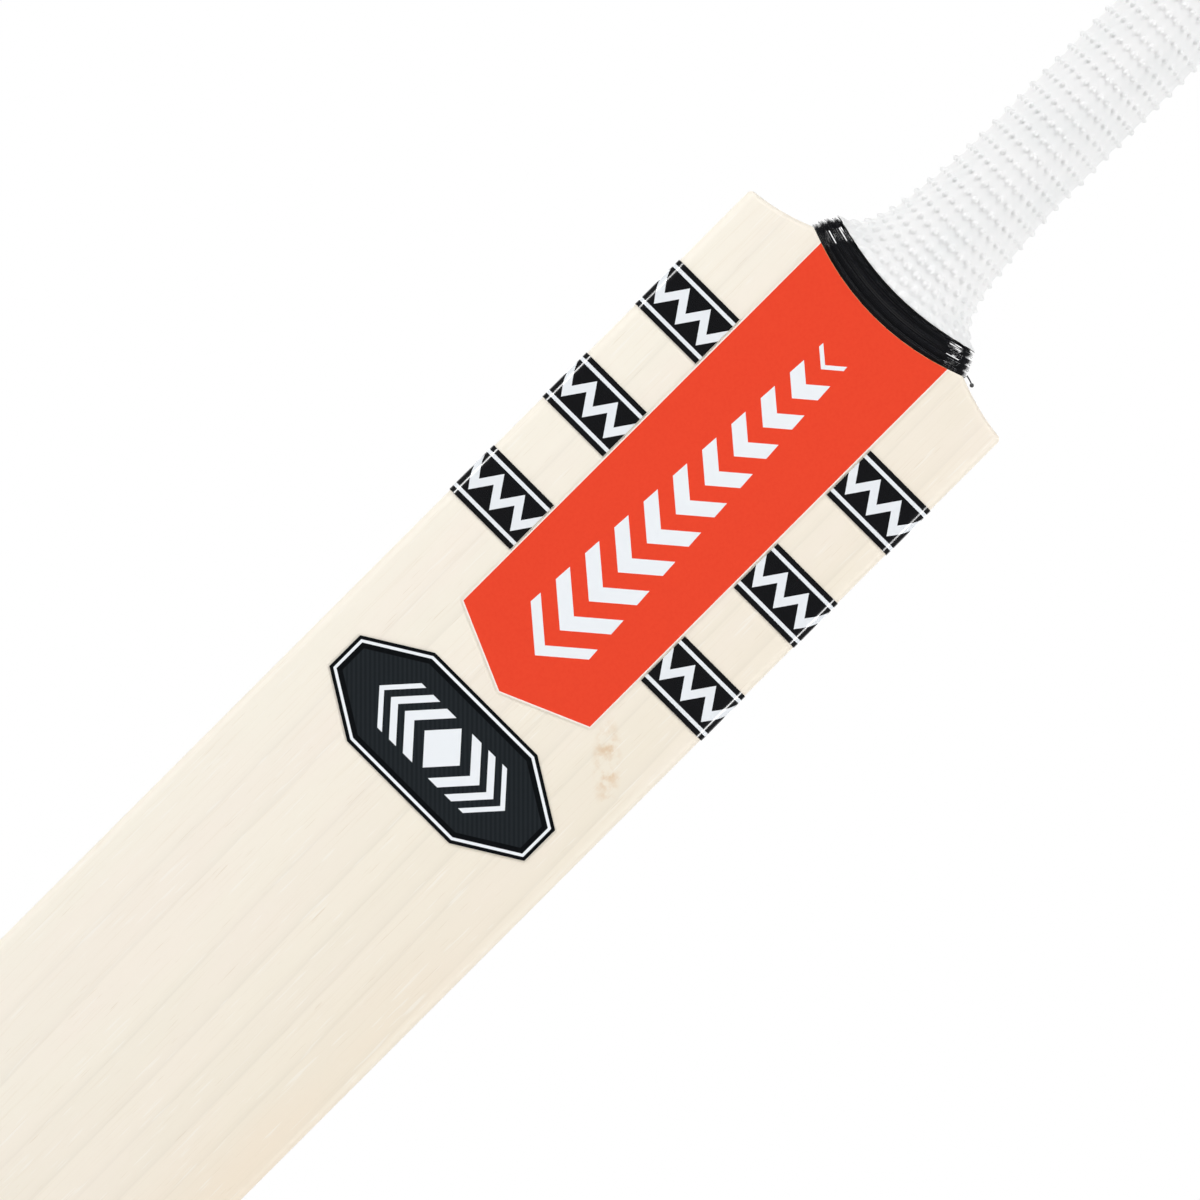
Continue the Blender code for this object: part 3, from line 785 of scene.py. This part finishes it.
def cane_finish():
    """Tan cane with long fibres, dark bundles and a tone of its own in each strip."""
    cane = Finish("cane", 0.3)
    x, _, _ = cane.axes()
    fibre = cane.noise((2.4, 2.4, 0.03), detail=3.0, roughness=0.65)
    cane.ramp(fibre, CANE_TONES)
    strip = (x * (len(CANE_COLUMNS) / mm(CORE_WIDTH)) + 0.5).math("FLOOR")
    tone = (strip * 0.37 + 0.15).fraction()
    cane.layer(tone * 0.35, CANE_STRIP)
    bundle = cane.noise((4.2, 4.2, 0.05), detail=1.0)
    cane.layer(bundle.rise(0.62, 0.72) * 0.6, CANE_BUNDLE)
    cane.bump(fibre, 0.25, 0.0001)
    return cane.done(fibre * 0.2 + 0.45)


def rubber_finish(name, colour, worn, roughness, specular):
    rubber = Finish(name, specular)
    rubber.ground(colour)
    cloud = rubber.noise((0.12, 0.12, 0.05), detail=3.0)
    rubber.layer(cloud.rise(0.35, 0.75), worn)
    grain = rubber.noise((6.0, 6.0, 6.0))
    rubber.bump(grain, 0.08, 0.0001)
    return rubber.done(grain * 0.16 + (roughness - 0.08))


def thread_finish():
    """Waxed black thread: a fine twist, uneven sheen and wear."""
    thread = Finish("black_thread", 0.65)
    thread.ground(THREAD_BLACK)
    wear = thread.noise((0.5, 0.5, 1.4), detail=3.0)
    thread.layer(wear.rise(0.50, 0.75), THREAD_WORN)
    twist = thread.noise((2.0, 2.0, 9.0))
    thread.bump(twist, 0.02, 0.0001)
    return thread.done(wear * 0.08 + 0.05)


def film(name, ground, grain_colour, specular=0.12):
    """The start of a printed film's finish, and its grain."""
    made = Finish(name, specular)
    made.ground(ground)
    grain = made.noise((0.9, 0.9, 0.9), detail=3.0)
    made.layer(grain.rise(0.35, 0.75) * 0.6, grain_colour)
    made.bump(made.noise((0.3, 0.3, 0.05)), 0.05, 0.0002)
    return made, grain


def panel_finish():
    """Orange-red film with a pale keyline and a plume of white chevrons."""
    red, grain = film("red_film", PANEL_RED, PANEL_GRAIN)
    across, up = red.print_axes()
    out = across.size()
    half = mm(PANEL_WIDTH) / 2
    foot = mm(PANEL_FOOT)
    from_foot = up - foot - out * (mm(PANEL_POINT) / half)
    keyline = out.past(half - SIDE_KEYLINE).most(from_foot.short_of(FOOT_KEYLINE))
    red.layer(keyline, PANEL_KEYLINE)
    climb = up - out * CHEVRON_SLOPE
    stripe = ((climb - foot) * (1 / CHEVRON_PITCH)).fraction().within(*CHEVRON_SPAN, CHEVRON_SOFTNESS)
    width = (up - foot) * -PLUME_TAPER + PLUME_WIDTH
    inside = (width - out).past(0.0, LINE_SOFTNESS)
    extent = climb.within(foot + PLUME_SPAN[0], foot + PLUME_SPAN[1], INK_SOFTNESS)
    red.layer(stripe * inside * extent, WHITE_INK)
    return red.done(grain * 0.12 + 0.36)


def band_finish():
    """Black film with white border lines and a white zigzag."""
    black, grain = film("black_film", BAND_BLACK, BAND_GRAIN, specular=0.7)
    across, up = black.print_axes()
    first = mm(BLADE_LENGTH - BAND_DROP - BAND_HEIGHT / 2)
    step = mm(BAND_HEIGHT + BAND_SPACE)
    from_middle = ((up - first) * (1 / step) + 0.5).fraction() * step - step / 2
    edge = mm(BAND_HEIGHT) / 2
    border = from_middle.size().within(edge - BORDER_INSETS[0], edge - BORDER_INSETS[1])
    wave = ((across.size() - mm(PANEL_WIDTH) / 2) * (1 / ZIGZAG_PITCH)).fraction()
    zigzag = (wave - 0.5).size() * (2 * ZIGZAG_HEIGHT) - ZIGZAG_HEIGHT / 2
    line = (from_middle - zigzag).size().short_of(ZIGZAG_LINE)
    black.layer(line.most(border), WHITE_INK)
    return black.done(grain * 0.06 + 0.15)


def badge_finish():
    """Black and grey film with a white keyline, facing chevrons and a lozenge."""
    black, grain = film("badge_film", BADGE_BLACK, BADGE_GRAIN, specular=0.08)
    across, up = black.print_axes()
    out = across.size()
    height = (up - mm(BADGE_MIDDLE)).size()
    half = mm(BADGE_WIDTH) / 2
    tall = mm(BADGE_HEIGHT) / 2
    drop = tall * (1 - BADGE_END_SHARE) / mm(BADGE_POINT)
    slanted = (out - (half - mm(BADGE_POINT))) * drop + height - tall
    past_edge = (out - half).most(height - tall).most(slanted * (1 / math.hypot(1, drop)))
    field = past_edge.short_of(-BADGE_FRAME)
    black.layer(field, BADGE_FIELD)
    weave = ((across + up) * WEAVE_RATE).fraction().within(0.0, 0.5, INK_SOFTNESS)
    black.layer(field * weave * 0.5, BADGE_WEAVE)
    black.layer(past_edge.within(*BADGE_KEYLINE), WHITE_INK)
    point = out + height * BAR_SLOPE
    for span in BADGE_BARS:
        black.layer(point.within(*span) * height.short_of(BAR_REACH), WHITE_INK)
    black.layer(point.short_of(LOZENGE_REACH), WHITE_INK)
    return black.done(grain * 0.12 + 0.36)


# Blade


def eased_in(reach, count):
    """Distances from a rim, closest together beside it."""
    return reach * (1 - np.cos(np.linspace(0, pi / 2, count)))


def blade_grid():
    """The whole blade: face, back and the wall between their rims."""
    rim = eased_in(BACK_ROUND, RIM_STEPS)[:-1]
    inner = HALF_WIDTH - BACK_ROUND
    middle = np.linspace(-inner, inner, BLADE_COLUMNS)
    x = np.concatenate([rim - HALF_WIDTH, middle, (HALF_WIDTH - rim)[::-1]])
    low, high = quarter(HALF_WIDTH - np.abs(x), TOE_CORNER), top_line(x)
    foot = eased_in(TOE_ROUND, TOE_STEPS)
    head = eased_in(SHOULDER_RIM, SHOULDER_STEPS)[::-1]
    between = np.linspace(0, 1, BLADE_ROWS)[1:-1, None]
    start, end = low + foot[-1], high - head[0]
    z = np.concatenate([low + foot[:, None], start + (end - start) * between, high - head[:, None]])
    x = np.broadcast_to(x, z.shape)
    front = np.stack([x, face_y(x, z) + rim_inset(x, z, FACE_ROUND), z], -1)
    back = np.stack([x, back_y(x, z), z], -1)
    return slab(front, back, WALL_STEPS)


def throat_root():
    """The foot of the handle's flare, down inside the blade."""
    angles = round_angles(ROOT_SIDES)
    rings = [on_handle(angles, -ROOT_DEPTH, -ROOT_INSET)]
    rings += [on_handle(angles, height, 0.0) for height in (*ROOT_HEIGHTS, WING_HEIGHT + ROOT_RISE)]
    return ring_mesh(rings, False)


def splice_half(z):
    """Half the width of the V at a height, down to its round tip."""
    tip = SPLICE_TIP_WIDTH / 2
    if z < TIP_HEIGHT:
        return math.sqrt(max(tip**2 - (TIP_HEIGHT - z) ** 2, 0.0))
    return SPLICE_WIDTH / 2 + SPLICE_RISE * (z - BLADE_LENGTH)


def splice_socket():
    """The V that is cut through the blade, open above the wings."""
    reach = BLADE_WIDTH
    grow = GLUE_GAP / 2
    wing = BLADE_LENGTH + WING_HEIGHT - grow
    angles = np.linspace(pi, 2 * pi, TIP_STEPS)
    radius = SPLICE_TIP_WIDTH / 2 + grow
    tip = [(radius * math.cos(a), TIP_HEIGHT + radius * math.sin(a)) for a in angles]
    right = [(splice_half(wing) + grow, wing), (reach, wing), (reach, wing + reach)]
    outline = tip + right + [(-x, z) for x, z in reversed(right)]
    rings = [[(x, y, z) for x, z in outline] for y in (-reach, reach)]
    return ring_mesh(rings, False)


def make_blade(finish):
    blade = mesh_object("blade_willow", *blade_grid())
    with editing(blade.data) as shape:
        bmesh.ops.triangulate(shape, faces=shape.faces)
    root = mesh_object("throat_root", *throat_root())
    socket = mesh_object("splice_socket", *splice_socket())
    cut(blade, [("UNION", root), ("DIFFERENCE", socket)])
    mend(blade.data)
    piece(blade, ["blade"], finish, sharp=40)


# Canes and cheeks that show on the back of the blade


def handle_back(x, z):
    """The handle's back surface, which the thread and the grip hide."""
    height = z - BLADE_LENGTH
    for _ in range(SAG_ROUNDS):
        share = flare(height)
        across = np.clip(np.abs(x) / half_width(share), 0, 1)
        height = z - BLADE_LENGTH + THROAT_SAG * share * (1 - across**2)
    return HANDLE_Y + half_depth(flare(height), THROAT_BACK) * np.sqrt(1 - across**2)


def splice_limit(z):
    """How far from the middle a strip may reach in the V."""
    return splice_half(z) - GLUE_GAP / 2


def splice_start(inner):
    """The height where the V reaches a strip's inner side."""
    return BLADE_LENGTH - (SPLICE_WIDTH / 2 - inner - GLUE_GAP / 2) / SPLICE_RISE


def strip_section(x, y, front, z):
    """A strip's section: its back, and its flat front."""
    back = np.maximum(y, front + LEAST_DEPTH)
    return [(a, b, z) for a, b in zip(x, back)] + [(x[-1], front, z), (x[0], front, z)]


def cane_rings(left, right, front, low):
    """Sections of one cane, between two x limits and behind a plane."""
    middle = (left + right) / 2
    arch = float(throat_arch(middle))
    in_blade, in_handle = 110, 30
    blade_rows = low + (arch - low) * np.linspace(0, 1, in_blade)
    flare_rows = arch + CANE_FLARE_RUN * np.linspace(CANE_FLARE_START, 1, in_handle)
    shaft_rows = np.linspace(arch + CANE_SHAFT_START, BLADE_LENGTH + HANDLE_LENGTH, in_handle)

    def section(z, limit, back):
        x = np.linspace(max(left, -limit), min(right, limit), STRIP_POINTS)
        if x[0] > x[-1]:
            x[:] = np.clip(middle, -limit, limit)
        return strip_section(x, back(x, z), front, z)

    rings = [section(z, splice_limit(z), plain_back_y) for z in blade_rows]
    for z in np.concatenate([flare_rows, shaft_rows]):
        share = float(flare(z - BLADE_LENGTH))
        depth = half_depth(share, THROAT_BACK)
        limit = half_width(share) * math.sqrt(max(1 - ((front - HANDLE_Y) / depth) ** 2, 0.0))
        if z <= BLADE_LENGTH + WING_HEIGHT:
            limit = min(limit, splice_limit(z))
        rings.append(section(z, limit, handle_back))
    return rings


def make_strip(node, rings, finish):
    strip = mesh_object(f"{node}_wood", *ring_mesh(rings, False), welded=True)
    piece(strip, [node], finish)


def make_canes(finish):
    front = HANDLE_Y + (SPRING_PITCH + SPRING_THICKNESS / 2 + GLUE_GAP)
    width = CORE_WIDTH / len(CANE_COLUMNS)
    for k, column in enumerate(CANE_COLUMNS):
        left = k * width - CORE_WIDTH / 2 + GLUE_GAP / 2
        right = left + width - GLUE_GAP
        inner = max(left, -right, 0.0)
        low = splice_start(inner) if inner > 0 else TIP_HEIGHT - SPLICE_TIP_WIDTH / 2 + GLUE_GAP
        make_strip(f"cane_back_{column}", cane_rings(left, right, front, low), finish)


def cheek_rings(sign):
    """Sections of one cheek, from the core out to the V's side."""
    front = HANDLE_Y + GLUE_GAP / 2
    inner = CORE_WIDTH / 2 + GLUE_GAP / 2
    in_blade, over_blade = 70, 24
    blade_rows = np.linspace(splice_start(inner), BLADE_LENGTH, in_blade)
    throat_rows = np.linspace(BLADE_LENGTH + GLUE_GAP, BLADE_LENGTH + CHEEK_TOP, over_blade)
    rings = []
    for z in np.concatenate([blade_rows, throat_rows]):
        limit = splice_limit(z)
        if z > BLADE_LENGTH + WING_HEIGHT:
            limit = half_width(float(flare(z - BLADE_LENGTH)))
        x = np.linspace(inner, max(limit, inner), STRIP_POINTS)
        blade = plain_back_y(x, z)
        y = np.where(z <= throat_arch(x), blade, np.minimum(blade, handle_back(x, z)))
        rings.append(strip_section(sign * x, y, front, z))
    return rings


def make_cheeks(finish):
    for side, sign in SIDES:
        make_strip(f"cheek_{side}_back", cheek_rings(sign), finish)


# Thread


def tube(path, section, up=(0.0, 0.0, 1.0)):
    """Rings of a tube; its section is given outwards and upwards from the path."""
    path = np.asarray(path)
    ahead = np.gradient(path, axis=0)
    out = np.cross(ahead, up)
    out /= np.linalg.norm(out, axis=1)[:, None]
    over = np.cross(out, ahead)
    over /= np.linalg.norm(over, axis=1)[:, None]
    return path[:, None] + section[:, :1] * out[:, None] + section[:, 1:] * over[:, None]


def circle(radius, sides):
    angles = round_angles(sides)
    return radius * np.stack([np.cos(angles), np.sin(angles)], -1)


def wound_strand():
    """One flattened strand, wound close in stepped cords."""
    loops = CORDS * STRANDS_PER_CORD
    angle = np.linspace(0, 2 * pi * loops, TURN_POINTS * loops + 1)
    turn = angle / (2 * pi)
    cord, along = np.divmod(turn / STRANDS_PER_CORD, 1)
    step = CORD_LEAN * along + (1 - CORD_LEAN) * smooth((along - 1 + CORD_CATCH) / CORD_CATCH)
    bulge = CORD_BULGE * (1 - np.cos(pi * along) ** CORD_SQUARENESS)
    marks = np.linspace(0, loops, WAVERS_PER_LOOP * loops + 1)

    def drift():
        """A seeded swing along the strand, between -1 and 1."""
        return np.interp(turn, marks, chance.uniform(-1, 1, len(marks)))

    lift = SLEEVE_FOOT + STRAND_THICKNESS / 2 + bulge + STRAND_WAVER * drift()
    foot = STRAND_WIDTH / 2
    rise = (HEM_HEIGHT - STRAND_WIDTH) / CORDS

    def lay(share):
        """The strand's path, or one a share of a cord above it."""
        points = on_handle(angle, foot + rise * (cord + step + CORD_LEAN * share), lift)
        points[:, 2] = on_handle(angle, foot + rise * (cord + along + share), lift)[:, 2]
        return points

    path = lay(0.0)
    up = lay(STRAND_UP) - path
    out = np.cross(np.gradient(path, axis=0), up)
    out *= (np.linalg.norm(up, axis=1) / np.linalg.norm(out, axis=1))[:, None]
    bias = LOWER_ROLL + (UPPER_ROLL - LOWER_ROLL) * smooth((turn / loops - ROLL_START) / ROLL_RUN)
    up = up + (bias + STRAND_ROLL * drift())[:, None] * out
    length = lengths_along(path)
    even = np.linspace(0, length[-1], int(length[-1] / STRAND_STEP))
    path, up = [np.stack([np.interp(even, length, p[:, k]) for k in range(3)], -1) for p in (path, up)]
    half = np.array(STRAND_EDGE)[:, ::-1] * (STRAND_THICKNESS / 2, STRAND_WIDTH / 2)
    section = np.concatenate([half, half[::-1] * (1, -1)])
    return tube(path, section, up)


def knotted_tail():
    """The thread's loose end and its knot, on the shoulder."""
    knot = np.array(TAIL_KNOT)
    begin = on_handle(0.0, TAIL_HEIGHT, SLEEVE_TOP)
    bend = (knot + begin) / 2 + TAIL_BEND
    share = np.linspace(0, 1, TAIL_STEPS)[:, None]
    tail = knot * (1 - share) ** 2 + 2 * bend * share * (1 - share) + begin * share**2
    angles = round_angles(KNOT_STEPS)
    turn = np.stack([np.cos(angles), KNOT_FLATNESS * np.sin(angles), np.sin(angles)], -1)
    ring = knot + KNOT_TURN * turn
    section = circle(KNOT_RADIUS, TAIL_SIDES)
    lump = [tube(np.roll(ring, 1 - k, axis=0)[:3], section)[1] for k in range(KNOT_STEPS)]
    return [ring_mesh(tube(tail, circle(TAIL_RADIUS, TAIL_SIDES)), False), ring_mesh(lump, True)]


def make_throat_binding(finish):
    """Close-wound cords of thread over a sleeve, with its knotted tail."""
    angles = round_angles(SLEEVE_SIDES)
    heights = np.linspace(0, HEM_HEIGHT, SLEEVE_ROWS)
    inside = [on_handle(angles, height, SLEEVE_FOOT) for height in heights]
    outside = [on_handle(angles, height, SLEEVE_TOP) for height in heights[::-1]]
    shapes = [ring_mesh(wound_strand(), False), *knotted_tail(), ring_mesh(inside + outside, True)]
    binding = mesh_object("throat_binding_thread", *joined(*shapes))
    piece(binding, ["throat_binding"], finish, sharp=60)


def make_handle_binding(finish):
    """The thread wound under the grip, as a sleeve of close turns."""
    angles = round_angles(HIDDEN_SIDES)
    heights = np.arange(HEM_HEIGHT, HANDLE_LENGTH - BINDING_TOP_INSET, SLEEVE_PITCH / RIDGE_STEPS)
    outside = []
    for height in heights:
        climb = height + angles / (2 * pi) * SLEEVE_PITCH
        ridge = np.abs(np.sin(pi * climb / SLEEVE_PITCH))
        thickness = BINDING_THICKNESS * (1 - GROOVE_SHARE + GROOVE_SHARE * ridge)
        outside.append(on_handle(angles, height, BINDING_LIFT + thickness))
    inside = [on_handle(angles, height, BINDING_LIFT) for height in heights[::-RIDGE_STEPS]]
    sleeve = mesh_object("handle_binding_thread", *ring_mesh(outside + inside, True))
    piece(sleeve, ["handle_binding"], finish, sharp=60)


# Grip


def grip_rows():
    """Heights of the pimple rows, closest in the flare."""
    rows = []
    place = FIRST_ROW
    while place < HANDLE_LENGTH - LAST_ROW_INSET:
        height = place
        for _ in range(ROW_ROUNDS):
            height = place + THROAT_SAG * float(flare(height))
        rows.append(height)
        share = min((place - FIRST_ROW) / SPACING_RUN, 1)
        place += FIRST_SPACING + (ROW_SPACING - FIRST_SPACING) * share
    return rows


def arc(lift, height, radius, start, stop):
    """Lifts and heights along an arc of a profile."""
    turns = np.linspace(start, stop, ROUND_STEPS)
    return [(lift + radius * math.cos(turn), height + radius * math.sin(turn)) for turn in turns]


class GripRings:
    """Rings of points over the grip, which follow its rows of pimples."""

    def __init__(self):
        self.rows = np.array(grip_rows())
        count = len(self.rows)
        self.shifts = 0.5 * (np.arange(count) % 2) + chance.uniform(-ROW_SWAY, ROW_SWAY, count)
        steps = PIMPLE_RADIUS * np.array(PIMPLE_STEPS)
        self.steps = np.concatenate([-steps[:0:-1], steps])
        pitch = 2 * pi * SHAFT_RADIUS / PIMPLES_ROUND
        beside = np.append(self.steps, pitch / 2)
        self.columns = (np.arange(PIMPLES_ROUND)[:, None] + beside / pitch).ravel()
        self.beside = np.tile(beside, PIMPLES_ROUND)

    def nearest_row(self, height):
        return np.argmin(np.abs(self.rows - height))

    def angles(self, height):
        """Angles of a ring's points, which follow the nearest row's pimples."""
        fine = np.linspace(0, 2 * pi, TURN_POINTS + 1)
        length = lengths_along(on_handle(fine, height, GRIP_LIFT))
        shares = (self.columns + self.shifts[self.nearest_row(height)]) / PIMPLES_ROUND
        return np.interp(shares % 1.0 * length[-1], length, fine)

    def relief(self, height):
        """How far the pimples and the ribs under them stand out."""
        along = height - self.rows[self.nearest_row(height)]
        distance = np.hypot(self.beside, along)
        dome = PIMPLE_HEIGHT * (1 - np.clip(distance / PIMPLE_RADIUS, 0, 1) ** 2)
        return dome + RIB_HEIGHT * smooth((RIB_REACH - abs(along)) / RIB_EDGE)

    def hem(self):
        """The rounded lower edge, from the inside out."""
        angles = self.angles(HEM_HEIGHT)
        rings = []
        for turn in np.linspace(0, pi, ROUND_STEPS):
            height = HEM_HEIGHT + HEM_ROUND * (1 - math.sin(turn))
            lift = GRIP_LIFT + (HEM_WALL + self.relief(height)) * (1 - math.cos(turn)) / 2
            rings.append(on_handle(angles, height, lift))
        return rings

    def outside(self):
        offsets = np.append(self.steps, [RIB_REACH, -RIB_REACH])
        heights = np.unique(np.round(self.rows[:, None] + offsets, 7))
        heights = heights[(heights > HEM_HEIGHT + HEM_START) & (heights < HANDLE_LENGTH - LIP_START)]
        walls = HEM_WALL + (GRIP_GROUND - HEM_WALL) * np.clip((heights - HEM_HEIGHT) / HEM_RUN, 0, 1)
        rings = []
        for height, wall in zip(heights, walls):
            rings.append(on_handle(self.angles(height), height, GRIP_LIFT + wall + self.relief(height)))
        return rings

    def rolled_lip(self):
        under = HANDLE_LENGTH + LAYER_GAP
        end = under + LIP_WALL
        outer = GRIP_LIFT + GRIP_WALL
        flat = outer - LIP_WALL
        rim = LIP_ROUND - LIP_REACH
        profile = arc(flat, end - LIP_WALL, LIP_WALL, 0, pi / 2)
        profile += [(flat + (rim - flat) * share, end) for share in np.linspace(0, 1, LIP_STEPS)[1:-1]]
        profile += arc(rim, end - LIP_ROUND, LIP_ROUND, pi / 2, 3 * pi / 2)
        profile.append((GRIP_LIFT, under))
        angles = self.angles(HANDLE_LENGTH)
        return [on_handle(angles, height, lift) for lift, height in profile]

    def inside(self):
        in_shaft, in_flare = 8, 30
        shaft = np.linspace(HANDLE_LENGTH - LIP_START, FLARE_TOP + INSIDE_MARGIN, in_shaft)
        throat = np.linspace(FLARE_TOP - INSIDE_MARGIN, HEM_HEIGHT + INSIDE_HEM, in_flare)
        heights = np.concatenate([shaft, throat])
        return [on_handle(self.angles(height), height, GRIP_LIFT) for height in heights]


def make_grip(finish):
    """A rubber sleeve with pimples on low ribs, a thin hem and a rolled lip."""
    grip = GripRings()
    rings = grip.hem() + grip.outside() + grip.rolled_lip() + grip.inside()
    rubber = mesh_object("grip_rubber", *ring_mesh(rings, True))
    piece(rubber, ["grip"], finish, sharp=70)


# Labels


def sheet(node, across, heights, finish):
    """A thin closed film over the face and its edge."""
    across = np.broadcast_to(across, heights.shape)
    film = slab(on_front(across, heights, FILM_TOP), on_front(across, heights, FILM_FOOT), 2)
    flat = np.stack([across, heights], -1).reshape(-1, 2)
    made = mesh_object(f"{node}_film", *film, np.concatenate([flat, flat]))
    piece(made, [node], finish, sharp=50)


def make_panel(finish):
    half = PANEL_WIDTH / 2
    rows, columns = 91, 61
    x = np.linspace(-half, half, columns)
    low = PANEL_FOOT + PANEL_POINT * np.abs(x) / half
    high = throat_arch(x) - FILM_MARGIN
    heights = low + (high - low) * np.linspace(0, 1, rows)[:, None]
    sheet("face_label", x, heights, finish)


def make_bands(finish):
    """Labels from beside the panel out over the blade's edges."""
    bend = HALF_WIDTH - FACE_ROUND
    wall = bend + FACE_ROUND * pi / 2
    on_face, on_edge, on_wall = 14, 13, 6
    flat = np.linspace(PANEL_WIDTH / 2 + BAND_GAP, bend, on_face)[:-1]
    edge = np.linspace(bend, wall, on_edge)[:-1]
    across = np.concatenate([flat, edge, np.linspace(wall, wall + BAND_WRAP, on_wall)])
    for k, place in enumerate(BAND_NAMES):
        high = BLADE_LENGTH - BAND_DROP - k * (BAND_HEIGHT + BAND_SPACE)
        heights = np.linspace(high - BAND_HEIGHT, high, BAND_ROWS)[:, None] + 0 * across
        for side, sign in SIDES:
            sheet(f"edge_label_{place}_{side}", sign * across, heights, finish)


def make_badge(finish):
    half = BADGE_WIDTH / 2
    shoulder = half - BADGE_POINT
    in_middle, in_point = 33, 16
    point = np.linspace(shoulder, half, in_point)[1:]
    x = np.concatenate([-point[::-1], np.linspace(-shoulder, shoulder, in_middle), point])
    drawn_in = np.maximum(np.abs(x) - shoulder, 0) / BADGE_POINT
    tall = BADGE_HEIGHT / 2 * (1 - (1 - BADGE_END_SHARE) * drawn_in)
    heights = BADGE_MIDDLE + tall * np.linspace(-1, 1, BADGE_ROWS)[:, None]
    sheet("badge", x, heights, finish)


def dress_frame(cane, rubber):
    """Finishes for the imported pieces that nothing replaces."""
    for name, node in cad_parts.items():
        if node.hide_render:
            continue
        node.data.materials.clear()
        node.data.materials.append(rubber if name.startswith("spring") else cane)


# World, floor, lamps and camera


def make_world():
    """Even fill light, plain white to the camera."""
    world = bpy.data.worlds.new("studio")
    bpy.context.scene.world = world
    world.use_nodes = True
    nodes = world.node_tree.nodes
    white = (1.0, 1.0, 1.0, 1.0)
    feed(nodes["Background"], {"Color": white, "Strength": FILL_LEVEL})
    seen = add_node(world.node_tree, "Background", {"Color": white})
    show_where(camera_ray(world.node_tree), nodes["Background"], seen, nodes["World Output"])


def camera_ray(tree):
    return Field(add_node(tree, "LightPath", {}).outputs["Is Camera Ray"])


def show_where(share, usual, seen, target):
    """Gives an output one shader, and another over a share of it."""
    inputs = {0: share, 1: usual.outputs[0], 2: seen.outputs[0]}
    mix = add_node(target.id_data, "MixShader", inputs)
    feed(target, {"Surface": mix.outputs[0]})


def make_floor():
    """A pale disc with the bat's shadow, plain white further out."""
    points = np.pad(circle(FLOOR_REACH, FLOOR_SIDES), ((0, 0), (0, 1)))
    floor = mesh_object("floor", points, [list(range(FLOOR_SIDES))])
    finish = Finish("floor", 0.1)
    x, y, _ = finish.axes()
    finish.ground(FLOOR_GREY)
    finish.layer(finish.noise((0.004, 0.004, 0.004)), FLOOR_MOTTLE)
    floor.data.materials.append(finish.done(0.9))
    away = (x * x + y * y).math("SQRT")
    share = away.rise(*FLOOR_FADE) * camera_ray(finish.tree)
    white = add_node(finish.tree, "Emission", {})
    show_where(share, finish.shader, white, finish.tree.nodes["Material Output"])


def soft_box(name, place, aim, size, watts):
    """An unseen lamp, aimed at a height on the bat."""
    data = bpy.data.lights.new(name, "AREA")
    data.shape = "RECTANGLE"
    data.size, data.size_y = size
    data.energy = watts
    lamp = add_object(name, data)
    lamp.location = place
    lamp.rotation_euler = (Vector((0, 0, aim)) - Vector(place)).to_track_quat("-Z", "Y").to_euler()
    lamp.visible_camera = False


def make_lamps():
    for name, (x, y, z), aim, size, watts, right_share in LAMP_PAIRS:
        soft_box(f"{name}_left", (-x, y, z), aim, size, watts)
        soft_box(f"{name}_right", (x, y, z), aim, size, watts * right_share)
    soft_box("top", *TOP_LAMP)


def make_camera():
    """Square to the face and turned an eighth, with the photograph's reach."""
    data = bpy.data.cameras.new("camera")
    data.sensor_width = SENSOR_WIDTH
    data.lens = SENSOR_WIDTH * CAMERA_DISTANCE / VIEW_REACH
    data.clip_end = CLIP_END
    camera = add_object("camera", data)
    lean = math.sqrt(0.5)
    right, up, back = (lean, 0, lean), (-lean, 0, lean), (0, -1, 0)
    turn = Matrix((right, up, back)).transposed().to_4x4()
    x, z = VIEW_CENTRE
    place = (x, float(face_line(z)) - CAMERA_DISTANCE, z)
    camera.matrix_world = Matrix.Translation(place) @ turn
    bpy.context.scene.camera = camera


def main():
    bpy.context.scene.view_settings.view_transform = "Standard"
    cane = cane_finish()
    thread = thread_finish()
    make_blade(willow_finish())
    make_canes(cane)
    make_cheeks(cane)
    make_throat_binding(thread)
    make_handle_binding(thread)
    make_grip(rubber_finish("grip_rubber", GRIP_RUBBER, GRIP_WORN, 0.6, 0.15))
    make_panel(panel_finish())
    make_bands(band_finish())
    make_badge(badge_finish())
    dress_frame(cane, rubber_finish("spring_rubber", SPRING_RUBBER, SPRING_WORN, 0.7, 0.3))
    make_world()
    make_floor()
    make_lamps()
    make_camera()


main()
